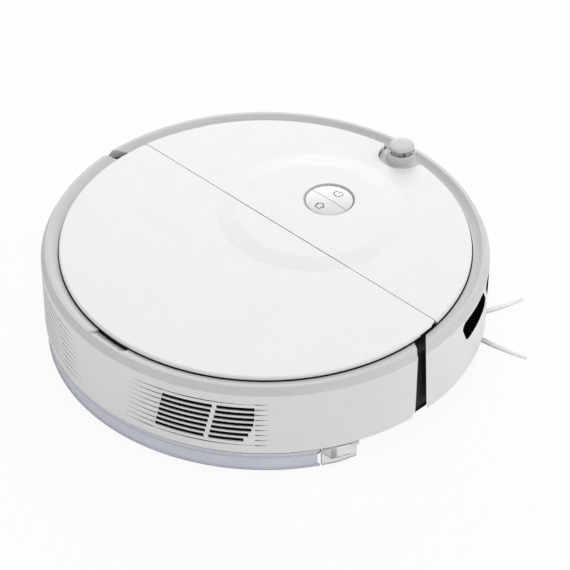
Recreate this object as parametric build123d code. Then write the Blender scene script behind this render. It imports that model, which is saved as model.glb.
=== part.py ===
from build123d import *
import os
from math import asin, cos, degrees, radians, sin, sqrt

# Robot vacuum with a mop tank.  Millimetres, +Z up, +Y towards the bumper, +X to the right.
# The origin is on the ground under the middle of the round body.

os.makedirs("parts", exist_ok=True)

# ---------------------------------------------------------------- overall form
BODY_R = 175.0            # outside radius of bumper and rear shell
BODY_TOP = 84.4           # level of the covers and of the rim's crest
WALL_FOOT = 21.8          # lower edge of the upright wall
GROUND_GAP = 9.5          # flat underside of the chassis above the ground
SHELL_WALL = 2.5          # moulded wall of shells and chassis
FLARE = 23.0              # width of the tapered underside, seen from below
INNER_WALL_IN = 6.5       # from the body's outside to the chassis wall
RUN = 0.3                 # running clearance between pieces that move past each other
SEAM = 0.5                # open seam between fixed mouldings

# ---------------------------------------------------------------- rim
BEVEL_IN = 3.3            # outer bevel of the rim, measured inwards
BEVEL_DROP = 6.2          # outer bevel of the rim, measured down
SLOPE_IN = 9.9            # crest and hollow inner slope of the rim, measured inwards
SLOPE_DROP = 3.6          # hollow inner slope of the rim, measured down
SLOPE_SAG = 0.7           # depth of the hollow
CREST_W = 2.8             # flat crest between bevel and slope
NOTCH_W = 33.0            # finger notch in the rear rim
NOTCH_RIM = 1.0           # of the crest left standing behind the notch

# ---------------------------------------------------------------- deck and covers
COVER_R = 160.8           # radius of the disc made by front cover and rear lid
COVER_T = 2.7
COVER_EDGE_R = 1.6        # rounded edge of the disc
DECK_GAP = 5.4            # free height between deck and covers
DECK_T = 2.0
LID_SPLIT_Y = 21.2        # seam between rear lid and front cover
HINGE_UNDER = 2.8         # lid hinge axis below the top of the covers
LID_NOSE_R = 4.5          # round front edge of the lid, about the hinge axis
LID_CORNER = 1.8          # the lid's front corners are cut back by this much
LID_RELIEF = 3.6          # relief under the lid's front corners, from the edge inwards
LID_RELIEF_H = 1.4
LID_RELIEF_FROM = 2.0     # where the relief runs out, ahead of the middle of the body
LID_PIN_D = 2.2
PLATEAU_Y = 52.3          # centre of the raised ring on the covers
PLATEAU_R = 78.2          # foot of the raised ring
PLATEAU_TOP_R = 59.3      # flat top inside the ring
PLATEAU_H = 1.2

# ---------------------------------------------------------------- buttons
BUTTON_Y = 72.0
BUTTON_R = 19.2
BEZEL_W = 1.6
BUTTON_T = 2.2
BUTTON_CROWN = 0.9        # height of the buttons' crown
BUTTON_SINK = 1.0         # the buttons' edge lies this far below the cover

# ---------------------------------------------------------------- bumper and sensor turret
BUMPER_END_Y = -1.7       # the bumper's two ends, at ground level
BUMPER_SLANT = 1.1        # of the bumper's ends, forward for each mm inwards
END_LEAN = 4.1            # degrees that the bumper's ends lean back
BUMPER_TRAVEL = 3.0
REAR_END_Y = -16.4        # the rear shell's two ends
REAR_SLANT = 0.81         # of the rear shell's ends, forward for each mm inwards
LIP_R = 5.5               # rounded lip of the rear shell that closes part of the gap to the bumper
LIP_IN = 1.2              # the lip lies this far inside the wall
CORNER_CUT = 4.2          # bevel on the rear shell's lower front corners
TURRET_IN = 18.0          # turret axis from the body's outside
TURRET_SLOT = 18.6        # round clearance in the cover
MOUTH_ROUND = 4.0         # rounded corners where that clearance meets the cover's edge
PAD_EDGE_IN = 0.5         # the turret's flared foot inside that clearance
PEDESTAL_R = 11.4
PEDESTAL_H = 5.0          # pedestal above the covers
TURRET_H = 11.0           # turret cap above the covers
CAP_R = 10.3
CAP_T = 1.8
LENS_R = 9.9
WINDOW_LOW = 54.0
WINDOW_HIGH = 76.0
WINDOW_T = 1.2
WINDOW_FIT = 0.12
SIDE_WINDOW_FROM = 14.0   # degrees from the right-hand side, at mid height
SIDE_WINDOW_TO = 30.0
FRONT_WINDOW_FROM = 32.0
WINDOW_SLANT = 11.0       # the side window's rear end leans by this much over its height
WINDOW_END_SLANT = 17.6   # the same at its front end and at the front window's ends
WINDOW_ROUND = 5.0        # rounded corners of the windows

# ---------------------------------------------------------------- exhaust grille
GRILLE_ROWS = 7
GRILLE_PITCH = 5.05
GRILLE_TOP_Z = 65.0
SLOT_H = 3.5
SLOT_FROM = 47.8          # degrees behind the right-hand side
SLOT_TO = 71.1
MULLION_AT = 57.6
MULLION_W = 1.1
MULLION_SLANT = 2.2
SLOT_SWEEP = 2.7          # the lower slots stop short at the front by up to this many degrees
GRILLE_SKIN = 1.5         # thickness of the wall between the slots
GROOVE_TO = 80.5          # fine lines run on from the slots and fade out here
GROOVE_FROM = 44.6
GROOVE_DEPTH = 1.3
GROOVE_LEAN = 0.3         # half width of a fine line for each mm of its depth
FOAM_T = 1.2              # exhaust foam behind the grille

# ---------------------------------------------------------------- drive wheels
WHEEL_D = 70.0
WHEEL_W = 20.0
WHEEL_X = 115.0           # middle of the tread
TYRE_T = 6.0
TREADS = 18
ARM_REACH = 45.0          # suspension pivot behind the wheel axle
ARM_RISE = 5.0            # suspension pivot above the wheel axle
ARM_W = 16.0
PIVOT_D = 6.0
AXLE_D = 8.0
WELL_GAP = 3.0            # free space round wheel and arm
WELL_WALL = 1.6
WELL_FLANGE = 4.0         # flange of a wheel housing round its well

# ---------------------------------------------------------------- caster
CASTER_Y = 125.0
CASTER_D = 26.0
CASTER_W = 12.0
CASTER_TRAIL = 7.0
CASTER_STEM_D = 7.0
CASTER_WELL_R = 24.5
CASTER_WALL = 1.8
CASTER_FLANGE = 1.0       # least width of the square plate round the caster's cup

# ---------------------------------------------------------------- main brush
BRUSH_Y = 47.0
BRUSH_D = 38.0
BRUSH_L = 168.0
BRUSH_LIFT = 4.0          # blade tips above the ground
BRUSH_CORE_D = 17.0
BRUSH_BLADES = 5
BLADE_T = 2.4
BRUSH_TWIST = 60.0        # degrees of twist in each half
BAY_GAP = 3.0             # free space round the brush
GUARD_T = 3.0             # brush guard frame
GUARD_BAR_W = 2.4
GUARD_BAR_PITCH = 27.5

# ---------------------------------------------------------------- side brush
SIDE_X = 105.9
SIDE_Y = 97.5
SIDE_ARMS = 6
SIDE_ARM_R = 73.0
SIDE_FIRST_ARM = 12.5     # degrees from the right-hand side
SIDE_HUB_D = 24.0
SIDE_ARM_Z = 5.0          # underside of the arms at the hub
SIDE_ARM_BOW = 2.6        # the arms bend this far backwards

# ---------------------------------------------------------------- dustbin, filter, fan
BIN_LEFT = -75.0
BIN_RIGHT = 38.0
BIN_FRONT = 8.0
BIN_WALL = 1.8
BIN_FIT = 1.0             # clearance round the bin in its bay
FILTER_L = 62.0
FILTER_H = 34.0
FILTER_T = 9.0
FAN_X = 86.0
FAN_Y = -92.0
FAN_R = 33.0
FAN_H = 26.0
FAN_BLADES = 9

# ---------------------------------------------------------------- battery, board, tank
CELL_D = 18.4
CELL_L = 65.0
TANK_EDGE_IN = 1.5        # the tank's rim inside the body's outside
TANK_FRONT = -63.0
TANK_WING = -91.0         # the tank's wide rear part starts here
TANK_CLIP_X = 138.0
TANK_WALL = 1.8
CLOTH_T = 3.4
TANK_H = 16.3
TANK_LIP = 1.7            # height of the lips along the tank's top and bottom edge
TANK_LIP_OUT = 0.9        # the lips stand out by this much
CLIP_TRAVEL = 2.0
CLIP_WEB = 4.0            # thickness of the clip's guide
CLIP_POCKET = 6.0         # depth of the guide's pocket in the tank
SCREW_D = 3.0
SCREW_HEAD_D = 6.4
CLIP_FROM = -31.2         # degrees from the right-hand side
CLIP_TO = -22.0

# ---------------------------------------------------------------- levels that follow
DECK_TOP = BODY_TOP - COVER_T - DECK_GAP
DECK_LOW = DECK_TOP - DECK_T
COVER_LOW = BODY_TOP - COVER_T
INNER_R = BODY_R - INNER_WALL_IN
FLAT_R = BODY_R - FLARE
FLOOR_TOP = GROUND_GAP + SHELL_WALL
LEDGE_Z = WALL_FOOT - 2.0
TURRET_Y = BODY_R - TURRET_IN
WHEEL_R = WHEEL_D / 2
BRUSH_R = BRUSH_D / 2
BRUSH_Z = BRUSH_R + BRUSH_LIFT
TANK_LOW = CLOTH_T
TANK_TOP = TANK_LOW + TANK_H
RECESS_TOP = TANK_TOP + SEAM
RECESS_ROOF = RECESS_TOP + SHELL_WALL
HINGE_Y = LID_SPLIT_Y - sqrt(LID_NOSE_R ** 2 - HINGE_UNDER ** 2) - RUN / 2
HINGE_Z = BODY_TOP - HINGE_UNDER
PIVOT_Y = -ARM_REACH
PIVOT_Z = WHEEL_R + ARM_RISE
ARM_X = WHEEL_X - WHEEL_W / 2 - RUN - ARM_W / 2 - 1.7
CLIP_Y = TANK_WING + 11.0
BAY_R = BRUSH_R + BAY_GAP
BAY_X = BRUSH_L / 2 + BAY_GAP + 1.0
GUARD_BAR_TOP = GROUND_GAP - GUARD_T - 1.2
GUARD_BARS = [k * GUARD_BAR_PITCH for k in (-2, -1, 0, 1, 2)]


# ---------------------------------------------------------------- helpers
def flat(points):
    """A flat face from corner points in the XY plane."""
    return make_face(Polyline(*points, close=True))


def turned(points, from_deg=0.0, sweep=360.0):
    """A profile of (radius, height) corners turned about the vertical axis."""
    profile = Plane.XZ * flat(points)
    return Rot(0, 0, from_deg) * revolve(profile, Axis.Z, revolution_arc=sweep)


def slab(x0, x1, y0, y1, z0, z1):
    """A block between its six faces."""
    return Pos((x0 + x1) / 2, (y0 + y1) / 2, (z0 + z1) / 2) * Box(x1 - x0, y1 - y0, z1 - z0)


def rod_z(x, y, z0, z1, radius):
    return Pos(x, y, (z0 + z1) / 2) * Cylinder(radius, z1 - z0)


def rod_x(x0, x1, y, z, radius):
    return Pos((x0 + x1) / 2, y, z) * Rot(0, 90, 0) * Cylinder(radius, x1 - x0)


def rod_y(x, y0, y1, z, radius):
    return Pos(x, (y0 + y1) / 2, z) * Rot(90, 0, 0) * Cylinder(radius, y1 - y0)


def mirrored(shape):
    """The left-hand twin of a right-hand piece."""
    return mirror(shape, Plane.YZ)


def both_sides(shape):
    return shape + mirrored(shape)


def polar(radius, angle, z=0.0):
    return Vector(radius * cos(radians(angle)), radius * sin(radians(angle)), z)


def save(name, *shapes):
    """Write one node; several separate solids share it as a group."""
    solids = [solid for shape in shapes for solid in shape.solids()]
    body = solids[0] if len(solids) == 1 else Compound(children=solids)
    body.label = name
    export_step(body, f"parts/{name}.step")


REACH = 2 * BODY_R                       # larger than anything it cuts
REAR_END_DEG = degrees(asin(-REAR_END_Y / BODY_R))
BUMPER_END_DEG = -degrees(asin((SHELL_WALL - REAR_END_Y) / 2 / BODY_R))


def end_cut(end_y, slant, ahead):
    """Everything ahead of or behind an end that slants forward inwards, right-hand side, in plan."""
    out, inside = 10.0, -30.0
    far = REACH if ahead else -REACH
    return flat([(BODY_R + out, far), (BODY_R + out, end_y - out * slant),
                 (BODY_R + inside, end_y - inside * slant), (BODY_R + inside, far)])


# ---------------------------------------------------------------- rim profile, shared by shell and bumper
CREST_R = BODY_R - BEVEL_IN
SLOPE_R = CREST_R - SLOPE_IN
SLOPE_Z = BODY_TOP - SLOPE_DROP


def rim_section(inner_points):
    """The rim and wall section; inner_points close it from the slope's foot to the wall's foot."""
    wall_low = (BODY_R, WALL_FOOT)
    wall_high = (BODY_R, BODY_TOP - BEVEL_DROP)
    crest = (CREST_R, BODY_TOP)
    crest_in = (CREST_R - CREST_W, BODY_TOP)
    slope_foot = (SLOPE_R, SLOPE_Z)
    middle = ((crest_in[0] + SLOPE_R) / 2, (BODY_TOP + SLOPE_Z) / 2 - SLOPE_SAG)
    outline = [Line(wall_low, wall_high), Line(wall_high, crest), Line(crest, crest_in)]
    outline += [ThreePointArc(crest_in, middle, slope_foot)]
    corners = [slope_foot] + inner_points + [wall_low]
    outline += [Line(a, b) for a, b in zip(corners, corners[1:])]
    return Plane.XZ * make_face(outline)


def turned_section(section, from_deg, sweep):
    return Rot(0, 0, from_deg) * revolve(section, Axis.Z, revolution_arc=sweep)


# ---------------------------------------------------------------- chassis
def well_outline(grow=0.0):
    """Plan of the right-hand wheel well: a long pocket for the wheel and one for the arm beside it."""
    wheel_in = WHEEL_X - WHEEL_W / 2 - WELL_GAP
    wheel_out = WHEEL_X + WHEEL_W / 2 + WELL_GAP
    arm_in = ARM_X - ARM_W / 2 - WELL_GAP
    back = PIVOT_Y - WELL_GAP - PIVOT_D
    front = WHEEL_R + WELL_GAP
    arm_front = WHEEL_R / 2 + WELL_GAP
    pocket = [
        (arm_in - grow, back - grow), (wheel_out + grow, back - grow), (wheel_out + grow, front + grow),
        (wheel_in - grow, front + grow), (wheel_in - grow, arm_front + grow), (arm_in - grow, arm_front + grow),
    ]
    return flat(pocket)


def standing(face, z0, z1):
    return Pos(0, 0, z0) * extrude(face, z1 - z0)


def bin_outline(grow=0.0):
    """Plan of the dustbin: a rectangle with its rear corners rounded by the body's circle."""
    left, right, front = BIN_LEFT - grow, BIN_RIGHT + grow, BIN_FRONT + grow
    block = Pos((left + right) / 2, front / 2 - REACH / 4) * Rectangle(right - left, front + REACH / 2)
    return block & Circle(INNER_R - SHELL_WALL - 8.0 + grow)


def tank_outline(shrink=0.0):
    """Plan of the water tank: a slice of the round body with a notch for a clip at each side."""
    disc = Circle(BODY_R - TANK_EDGE_IN - shrink)
    front = TANK_FRONT - shrink
    kept = Pos(0, front - REACH / 2) * Rectangle(REACH, REACH)
    notch_w = REACH / 2 - TANK_CLIP_X + shrink
    notch = Pos(TANK_CLIP_X - shrink + notch_w / 2, TANK_WING - shrink + REACH / 2) * Rectangle(notch_w, REACH)
    return (disc & kept) - notch - mirror(notch, Plane.YZ)


CLIFF_SPOTS = [(FLAT_R - 10.0, a) for a in (58, 122, 10, 170)]
CONTACT_HALF = (11.0, 6.0)
CONTACT_X = CASTER_WELL_R + CASTER_WALL + CASTER_FLANGE + CONTACT_HALF[0] + 1.5
CONTACT_SPOTS = [(-CONTACT_X, CASTER_Y), (CONTACT_X, CASTER_Y)]
SCREW_SPOTS = [(s * x, y) for s in (-1, 1) for x, y in ((24.0, BRUSH_Y + BAY_R + 12.0), (60.0, -52.0),
               (52.0, 104.0), (WHEEL_X + 22.0, -8.0))]
BOARD_Z = BRUSH_Z + BAY_R + SHELL_WALL + 4.0
BOARD_FRONT = 138.0
BOARD_BACK = BRUSH_Y + BAY_R + 4.0
BOARD_HALF = 62.0
POST_SPOTS = [(s * (BOARD_HALF - 5.0), y) for s in (-1, 1) for y in (BOARD_BACK + 5.0, BOARD_FRONT - 14.0)]
DUCT_HALF = 30.0
DUCT_LOW = BRUSH_Z + 4.0
DUCT_HIGH = BRUSH_Z + BAY_R - 3.0
DUCT_BACK = BIN_FRONT + BIN_FIT
BRUSH_DRIVE_X = -BAY_X - SHELL_WALL
STEM_TOP = CASTER_D + 18.0
SPEAKER_X = -80.0
SPEAKER_Y = 92.0
SPEAKER_R = 14.0
SCREW_BOSS = 3.0          # bosses for the bottom's screws, above the floor
SWITCH_DEG = 52.0
SIDE_CUP_TOP = GROUND_GAP + 7.0


def brush_tunnel(grow, x_half):
    """Round-topped tunnel over the main brush, open towards the ground."""
    bore = rod_x(-x_half, x_half, BRUSH_Y, BRUSH_Z, BAY_R + grow)
    legs = slab(-x_half, x_half, BRUSH_Y - BAY_R - grow, BRUSH_Y + BAY_R + grow, GROUND_GAP, BRUSH_Z)
    return (bore & slab(-REACH, REACH, -REACH, REACH, GROUND_GAP, REACH)) + legs


def bottom_section():
    """Section of the bottom: flat floor, tapered rim and the foot of the chassis wall."""
    w = SHELL_WALL
    return [
        (0, GROUND_GAP), (FLAT_R, GROUND_GAP), (INNER_R + 2.0, LEDGE_Z), (INNER_R, LEDGE_Z),
        (INNER_R, RECESS_ROOF), (INNER_R - w, RECESS_ROOF), (INNER_R - w, LEDGE_Z + w),
        (FLAT_R - 1.0, FLOOR_TOP), (0, FLOOR_TOP),
    ]


def brush_block(z0, z1):
    """Rectangle of the brush housing's outside, as a block."""
    x, y = BAY_X + SHELL_WALL, BAY_R + SHELL_WALL
    return slab(-x, x, BRUSH_Y - y, BRUSH_Y + y, z0, z1)


def caster_block(z0, z1):
    """Square of the plate round the caster's cup, as a block."""
    half = CASTER_WELL_R + CASTER_WALL + CASTER_FLANGE
    return slab(-half, half, CASTER_Y - half, CASTER_Y + half, z0, z1)


def bottom_pan():
    """The whole bottom in front of the tank, open where the housings sit in it."""
    pan = turned(bottom_section()) & slab(-REACH, REACH, TANK_FRONT + SEAM + SHELL_WALL, REACH, 0, REACH)
    side_cup = rod_z(SIDE_X, SIDE_Y, GROUND_GAP, SIDE_CUP_TOP + 2.0, SIDE_HUB_D / 2 + 3.6)
    pan += [rod_z(x, y, GROUND_GAP, FLOOR_TOP + SCREW_BOSS, 4.0) for x, y in SCREW_SPOTS]
    pan += side_cup
    pan -= both_sides(standing(well_outline(WELL_FLANGE), 0, REACH))
    pan -= brush_block(0, REACH)
    pan -= caster_block(0, REACH)
    pan -= rod_z(SIDE_X, SIDE_Y, 0, SIDE_CUP_TOP, SIDE_HUB_D / 2 + 2.0)
    pan -= rod_z(SIDE_X, SIDE_Y, 0, SIDE_CUP_TOP + 3.0, 3.05)
    for radius, angle in CLIFF_SPOTS:
        pan -= Rot(0, 0, angle) * slab(radius - 5, radius + 5, -9, 9, 0, FLOOR_TOP + 1)
    for x, y in CONTACT_SPOTS:
        pan -= slab(x - CONTACT_HALF[0], x + CONTACT_HALF[0], y - CONTACT_HALF[1], y + CONTACT_HALF[1],
                    0, FLOOR_TOP + 1)
    for x, y in SCREW_SPOTS:
        pan -= rod_z(x, y, 0, GROUND_GAP + 2.2, SCREW_HEAD_D / 2)
        pan -= rod_z(x, y, 0, FLOOR_TOP + SCREW_BOSS - 1.0, SCREW_D / 2)
    latch_y = BRUSH_Y + BAY_R + SHELL_WALL
    pan -= slab(-8.3, 8.3, latch_y - 6, latch_y + 6, 0, GROUND_GAP + 1.2)
    for angle in range(0, 360, 60):
        spot = polar(SPEAKER_R - 7.0, angle)
        pan -= rod_z(SPEAKER_X + spot.X, SPEAKER_Y + spot.Y, 0, FLOOR_TOP + 1, 1.6)
    return pan


def tank_recess():
    """Roof and step of the recess that the water tank slides into."""
    w = SHELL_WALL
    step_y = TANK_FRONT + SEAM + w
    roof = rod_z(0, 0, RECESS_TOP, RECESS_ROOF, INNER_R) & slab(-REACH, REACH, -REACH, step_y, 0, REACH)
    solid_bottom = turned([(0, GROUND_GAP), (FLAT_R, GROUND_GAP), (INNER_R + 2.0, LEDGE_Z),
                           (INNER_R, LEDGE_Z), (INNER_R, RECESS_ROOF), (0, RECESS_ROOF)])
    return roof + (slab(-REACH, REACH, step_y - w, step_y, GROUND_GAP, RECESS_ROOF) & solid_bottom)


def chassis_wall():
    """Round wall between bottom and deck, with the exhaust window and the bump switches' holes."""
    w = SHELL_WALL
    wall = turned([(INNER_R - w, RECESS_ROOF), (INNER_R, RECESS_ROOF),
                   (INNER_R, DECK_LOW), (INNER_R - w, DECK_LOW)])
    low, high = GRILLE_TOP_Z - (GRILLE_ROWS - 1) * GRILLE_PITCH - SLOT_H, GRILLE_TOP_Z + SLOT_H
    wall -= turned([(INNER_R - 2 * w, low), (INNER_R + w, low), (INNER_R + w, high), (INNER_R - 2 * w, high)],
                   -SLOT_TO, SLOT_TO - SLOT_FROM)
    for angle in (SWITCH_DEG, 180 - SWITCH_DEG):
        wall -= Rot(0, 0, angle) * rod_x(INNER_R - 3 * w, INNER_R + w, 0, DECK_LOW - 12.0, 1.7)
    return wall


def wheel_housing():
    """Right-hand wheel well with its flange and the bores of the suspension pivot."""
    house = standing(well_outline(WELL_WALL), GROUND_GAP, DECK_LOW)
    house += standing(well_outline(WELL_FLANGE), GROUND_GAP, FLOOR_TOP) - brush_block(0, REACH)
    house -= standing(well_outline(), 0, REACH)
    reach = WELL_GAP + WELL_WALL + 1
    return house - rod_x(ARM_X - ARM_W / 2 - reach, WHEEL_X + WHEEL_W / 2 + reach, PIVOT_Y, PIVOT_Z,
                         PIVOT_D / 2 + 0.05)


def brush_housing():
    """Tunnel over the main brush with the duct to the dustbin and the drive shaft's hole."""
    duct = slab(-DUCT_HALF - 1.8, DUCT_HALF + 1.8, DUCT_BACK, BRUSH_Y, DUCT_LOW - 1.8, DUCT_HIGH + 1.8)
    house = brush_tunnel(SHELL_WALL, BAY_X + SHELL_WALL) + duct
    house -= brush_tunnel(0, BAY_X) + slab(-DUCT_HALF, DUCT_HALF, DUCT_BACK - 1, BRUSH_Y, DUCT_LOW, DUCT_HIGH)
    return house - rod_x(BRUSH_DRIVE_X - 1, BRUSH_DRIVE_X + SHELL_WALL + 2, BRUSH_Y, BRUSH_Z, 4.0)


def caster_housing():
    """Round cup that the caster turns in, with the boss for its stem."""
    cup = rod_z(0, CASTER_Y, GROUND_GAP, CASTER_D + 8.0, CASTER_WELL_R + CASTER_WALL)
    cup += rod_z(0, CASTER_Y, CASTER_D, STEM_TOP + 2.0, CASTER_STEM_D / 2 + 5.0)
    cup -= rod_z(0, CASTER_Y, 0, CASTER_D + 6.0, CASTER_WELL_R)
    return cup - rod_z(0, CASTER_Y, 0, STEM_TOP + 0.5, CASTER_STEM_D / 2 + 0.05)


def caster_plate():
    """Square plate that closes the bottom round the caster's cup."""
    return caster_block(GROUND_GAP, FLOOR_TOP) - rod_z(0, CASTER_Y, 0, REACH, CASTER_WELL_R + CASTER_WALL)


def top_deck():
    """Plate over the chassis with the dustbin bay and the lid's cradles."""
    deck = rod_z(0, 0, DECK_LOW, DECK_TOP, INNER_R)
    deck -= standing(bin_outline(BIN_FIT), 0, REACH)
    for x in CRADLE_X:
        for side in (-1, 1):
            deck += lid_cradle(side * x)
    deck -= rod_z(0, BUTTON_Y, DECK_TOP - 1.0, REACH, BUTTON_R - 3.0)
    return deck


CRADLE_X = (52.0, 92.0)
CRADLE_W = 6.0
CRADLE_WALL = 1.0
KNUCKLE_WALL = 1.2


def lid_cradle(x):
    """Post behind the hinge pin that carries a half-round seat, open upwards."""
    x0, x1 = x - CRADLE_W / 2, x + CRADLE_W / 2
    seat_r = LID_PIN_D / 2 + CRADLE_WALL
    seat = rod_x(x0, x1, HINGE_Y, HINGE_Z, seat_r) & slab(x0, x1, -REACH, REACH, 0, HINGE_Z)
    post = slab(x0, x1, HINGE_Y - seat_r - 1.5, HINGE_Y - 0.2, DECK_LOW, HINGE_Z)
    return post + seat - rod_x(x0 - 1, x1 + 1, HINGE_Y, HINGE_Z, LID_PIN_D / 2 + 0.06)


def rear_shell():
    """Side wall and rim round the rear, with the exhaust grille, fine lines and finger notch."""
    inner = [(SLOPE_R, DECK_TOP), (BODY_R - SHELL_WALL, DECK_TOP), (BODY_R - SHELL_WALL, WALL_FOOT)]
    shell = turned_section(rim_section(inner), 180 + REAR_END_DEG - 5, 180 - 2 * REAR_END_DEG + 10)
    shell -= both_sides(standing(end_cut(REAR_END_Y, REAR_SLANT, True), 0, REACH))
    lip_r, lip_y = BODY_R - LIP_IN - LIP_R, REAR_END_Y + 0.5
    lip = rod_z(sqrt(lip_r ** 2 - lip_y ** 2), lip_y, WALL_FOOT + 3.0, DECK_TOP - 0.5, LIP_R)
    shell += both_sides(lip - rod_z(0, 0, 0, REACH, INNER_R + 0.4))
    shell -= Pos(0, REAR_END_Y, WALL_FOOT) * Rot(45, 0, 0) * Box(REACH * 2, CORNER_CUT, CORNER_CUT)
    shell -= vent_band(BODY_R - 2 * SHELL_WALL, BODY_R - GRILLE_SKIN, 0)
    for row in range(-1, GRILLE_ROWS + 1):
        z = GRILLE_TOP_Z - row * GRILLE_PITCH
        lines_mid = (GROOVE_FROM + GROOVE_TO) / 2
        shell -= fading_line(z, 180 + lines_mid, 180 + GROOVE_TO)
        shell -= fading_line(z, 180 + lines_mid, 180 + GROOVE_FROM)
        if row in (-1, GRILLE_ROWS):
            shell -= fading_line(z, -lines_mid, -GROOVE_TO)
            shell -= fading_line(z, -lines_mid, -GROOVE_FROM)
            continue
        shift = MULLION_SLANT * row / (GRILLE_ROWS - 1)
        front, back = SLOT_FROM + SLOT_SWEEP * (row / (GRILLE_ROWS - 1)) ** 3, SLOT_TO + shift
        middle = MULLION_AT + shift
        for start, end in ((front, middle - MULLION_W / 2), (middle + MULLION_W / 2, back)):
            shell -= turned([(BODY_R - 2 * SHELL_WALL, z - SLOT_H / 2), (BODY_R + 1, z - SLOT_H / 2),
                             (BODY_R + 1, z + SLOT_H / 2), (BODY_R - 2 * SHELL_WALL, z + SLOT_H / 2)],
                            -end, end - start)
        shell -= fading_line(z, -back - 0.4, -GROOVE_TO - shift / 2)
        shell -= fading_line(z, -front + 0.4, -GROOVE_FROM)
    return shell - finger_notch()


def finger_notch():
    """Space for a fingertip behind the lid's rear edge, with a floor that slopes inwards."""
    back, foot, front = -CREST_R + NOTCH_RIM, -SLOPE_R, -COVER_R + 4.0
    floor = DECK_TOP + 2.2
    side = flat([(back, BODY_TOP - 1.2), (foot, floor), (front, floor), (front, REACH), (back, REACH)])
    space = Pos(-NOTCH_W / 2, 0, 0) * extrude(Plane.YZ * side, NOTCH_W)
    return space


def fading_line(z, deep_deg, end_deg):
    """A fine line in the wall, deepest at deep_deg, that narrows and runs out at end_deg."""
    centre = polar(-GROOVE_DEPTH / sin(radians(end_deg - deep_deg)), end_deg - 90)
    far = 4.0
    cutter = turned([(BODY_R, z), (BODY_R + far, z - far * GROOVE_LEAN), (BODY_R + far, z + far * GROOVE_LEAN)],
                    min(deep_deg, end_deg), abs(end_deg - deep_deg))
    return Pos(centre.X, centre.Y, 0) * cutter


def vent_band(r0, r1, inset):
    """A band behind the whole grille, between two radii."""
    low = GRILLE_TOP_Z - (GRILLE_ROWS - 1) * GRILLE_PITCH - SLOT_H / 2 - 1.5 + inset
    high = GRILLE_TOP_Z + SLOT_H / 2 + 1.5 - inset
    ends = 1.0 - inset / 3
    return turned([(r0, low), (r1, low), (r1, high), (r0, high)], -SLOT_TO - MULLION_SLANT - ends,
                  SLOT_TO + MULLION_SLANT - SLOT_FROM + 2 * ends)


def vent_mesh():
    """Black foam strip in the wall's pocket behind the grille."""
    outside = BODY_R - GRILLE_SKIN - 0.1
    return vent_band(outside - FOAM_T, outside, 0.3)


# ---------------------------------------------------------------- covers
def cover_disc():
    """The whole disc, with its raised ring and rounded edge, before it is split."""
    r, edge = COVER_R, COVER_EDGE_R
    sag = edge * (1 - sqrt(0.5))
    round_top, round_mid, round_low = (r - edge, BODY_TOP), (r - sag, BODY_TOP - sag), (r, BODY_TOP - edge)
    corners = [round_low, (r, COVER_LOW), (0, COVER_LOW), (0, BODY_TOP), round_top]
    outline = [ThreePointArc(round_top, round_mid, round_low)]
    outline += [Line(a, b) for a, b in zip(corners, corners[1:])]
    disc = revolve(Plane.XZ * make_face(outline), Axis.Z)
    plateau = Pos(0, PLATEAU_Y, BODY_TOP - 0.2) * Cone(PLATEAU_R, PLATEAU_TOP_R, PLATEAU_H + 0.2,
                                                      align=(Align.CENTER, Align.CENTER, Align.MIN))
    return disc + plateau


def nose(radius):
    """Everything behind the lid's round front edge."""
    behind = slab(-REACH, REACH, -REACH, HINGE_Y, 0, REACH)
    return behind + rod_x(-REACH, REACH, HINGE_Y, HINGE_Z, radius)


def front_cover():
    cover = cover_disc() - nose(LID_NOSE_R + SEAM)
    skirt_r = COVER_R - 3.4
    top = COVER_LOW + 0.2
    skirt = turned([(skirt_r - 2, DECK_TOP), (skirt_r, DECK_TOP), (skirt_r, top), (skirt_r - 2, top)])
    cross = slab(-REACH, REACH, LID_SPLIT_Y + 4.0, LID_SPLIT_Y + 6.0, DECK_TOP, top)
    skirt += cross & rod_z(0, 0, 0, REACH, skirt_r)
    skirt &= slab(-REACH, REACH, LID_SPLIT_Y + 4.0, REACH, 0, REACH)
    guide = rod_z(0, BUTTON_Y, DECK_TOP, top, BUTTON_R + BEZEL_W + 2.0)
    cover = cover + skirt + guide
    cover -= rod_z(0, BUTTON_Y, 0, REACH, BUTTON_R + BEZEL_W)
    return cover - standing(turret_mouth(), 0, REACH)


def turret_mouth():
    """Plan of the cover's clearance round the turret, open to the cover's edge with rounded corners."""
    gate = Pos(0, TURRET_Y + TURRET_SLOT / 2) * Rectangle(2 * TURRET_SLOT, TURRET_SLOT)
    centre_x = TURRET_SLOT + MOUTH_ROUND
    centre_y = sqrt((COVER_R - MOUTH_ROUND) ** 2 - centre_x ** 2)
    grow = (COVER_R + 1.0) / (COVER_R - MOUTH_ROUND)
    corner = flat([(TURRET_SLOT - 1.0, centre_y), (centre_x, centre_y), (centre_x * grow, centre_y * grow),
                   (TURRET_SLOT - 1.0, centre_y * grow)])
    corner -= Pos(centre_x, centre_y) * Circle(MOUTH_ROUND)
    return (Pos(0, TURRET_Y) * Circle(TURRET_SLOT)) + gate + corner + mirror(corner, Plane.YZ)


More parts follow.
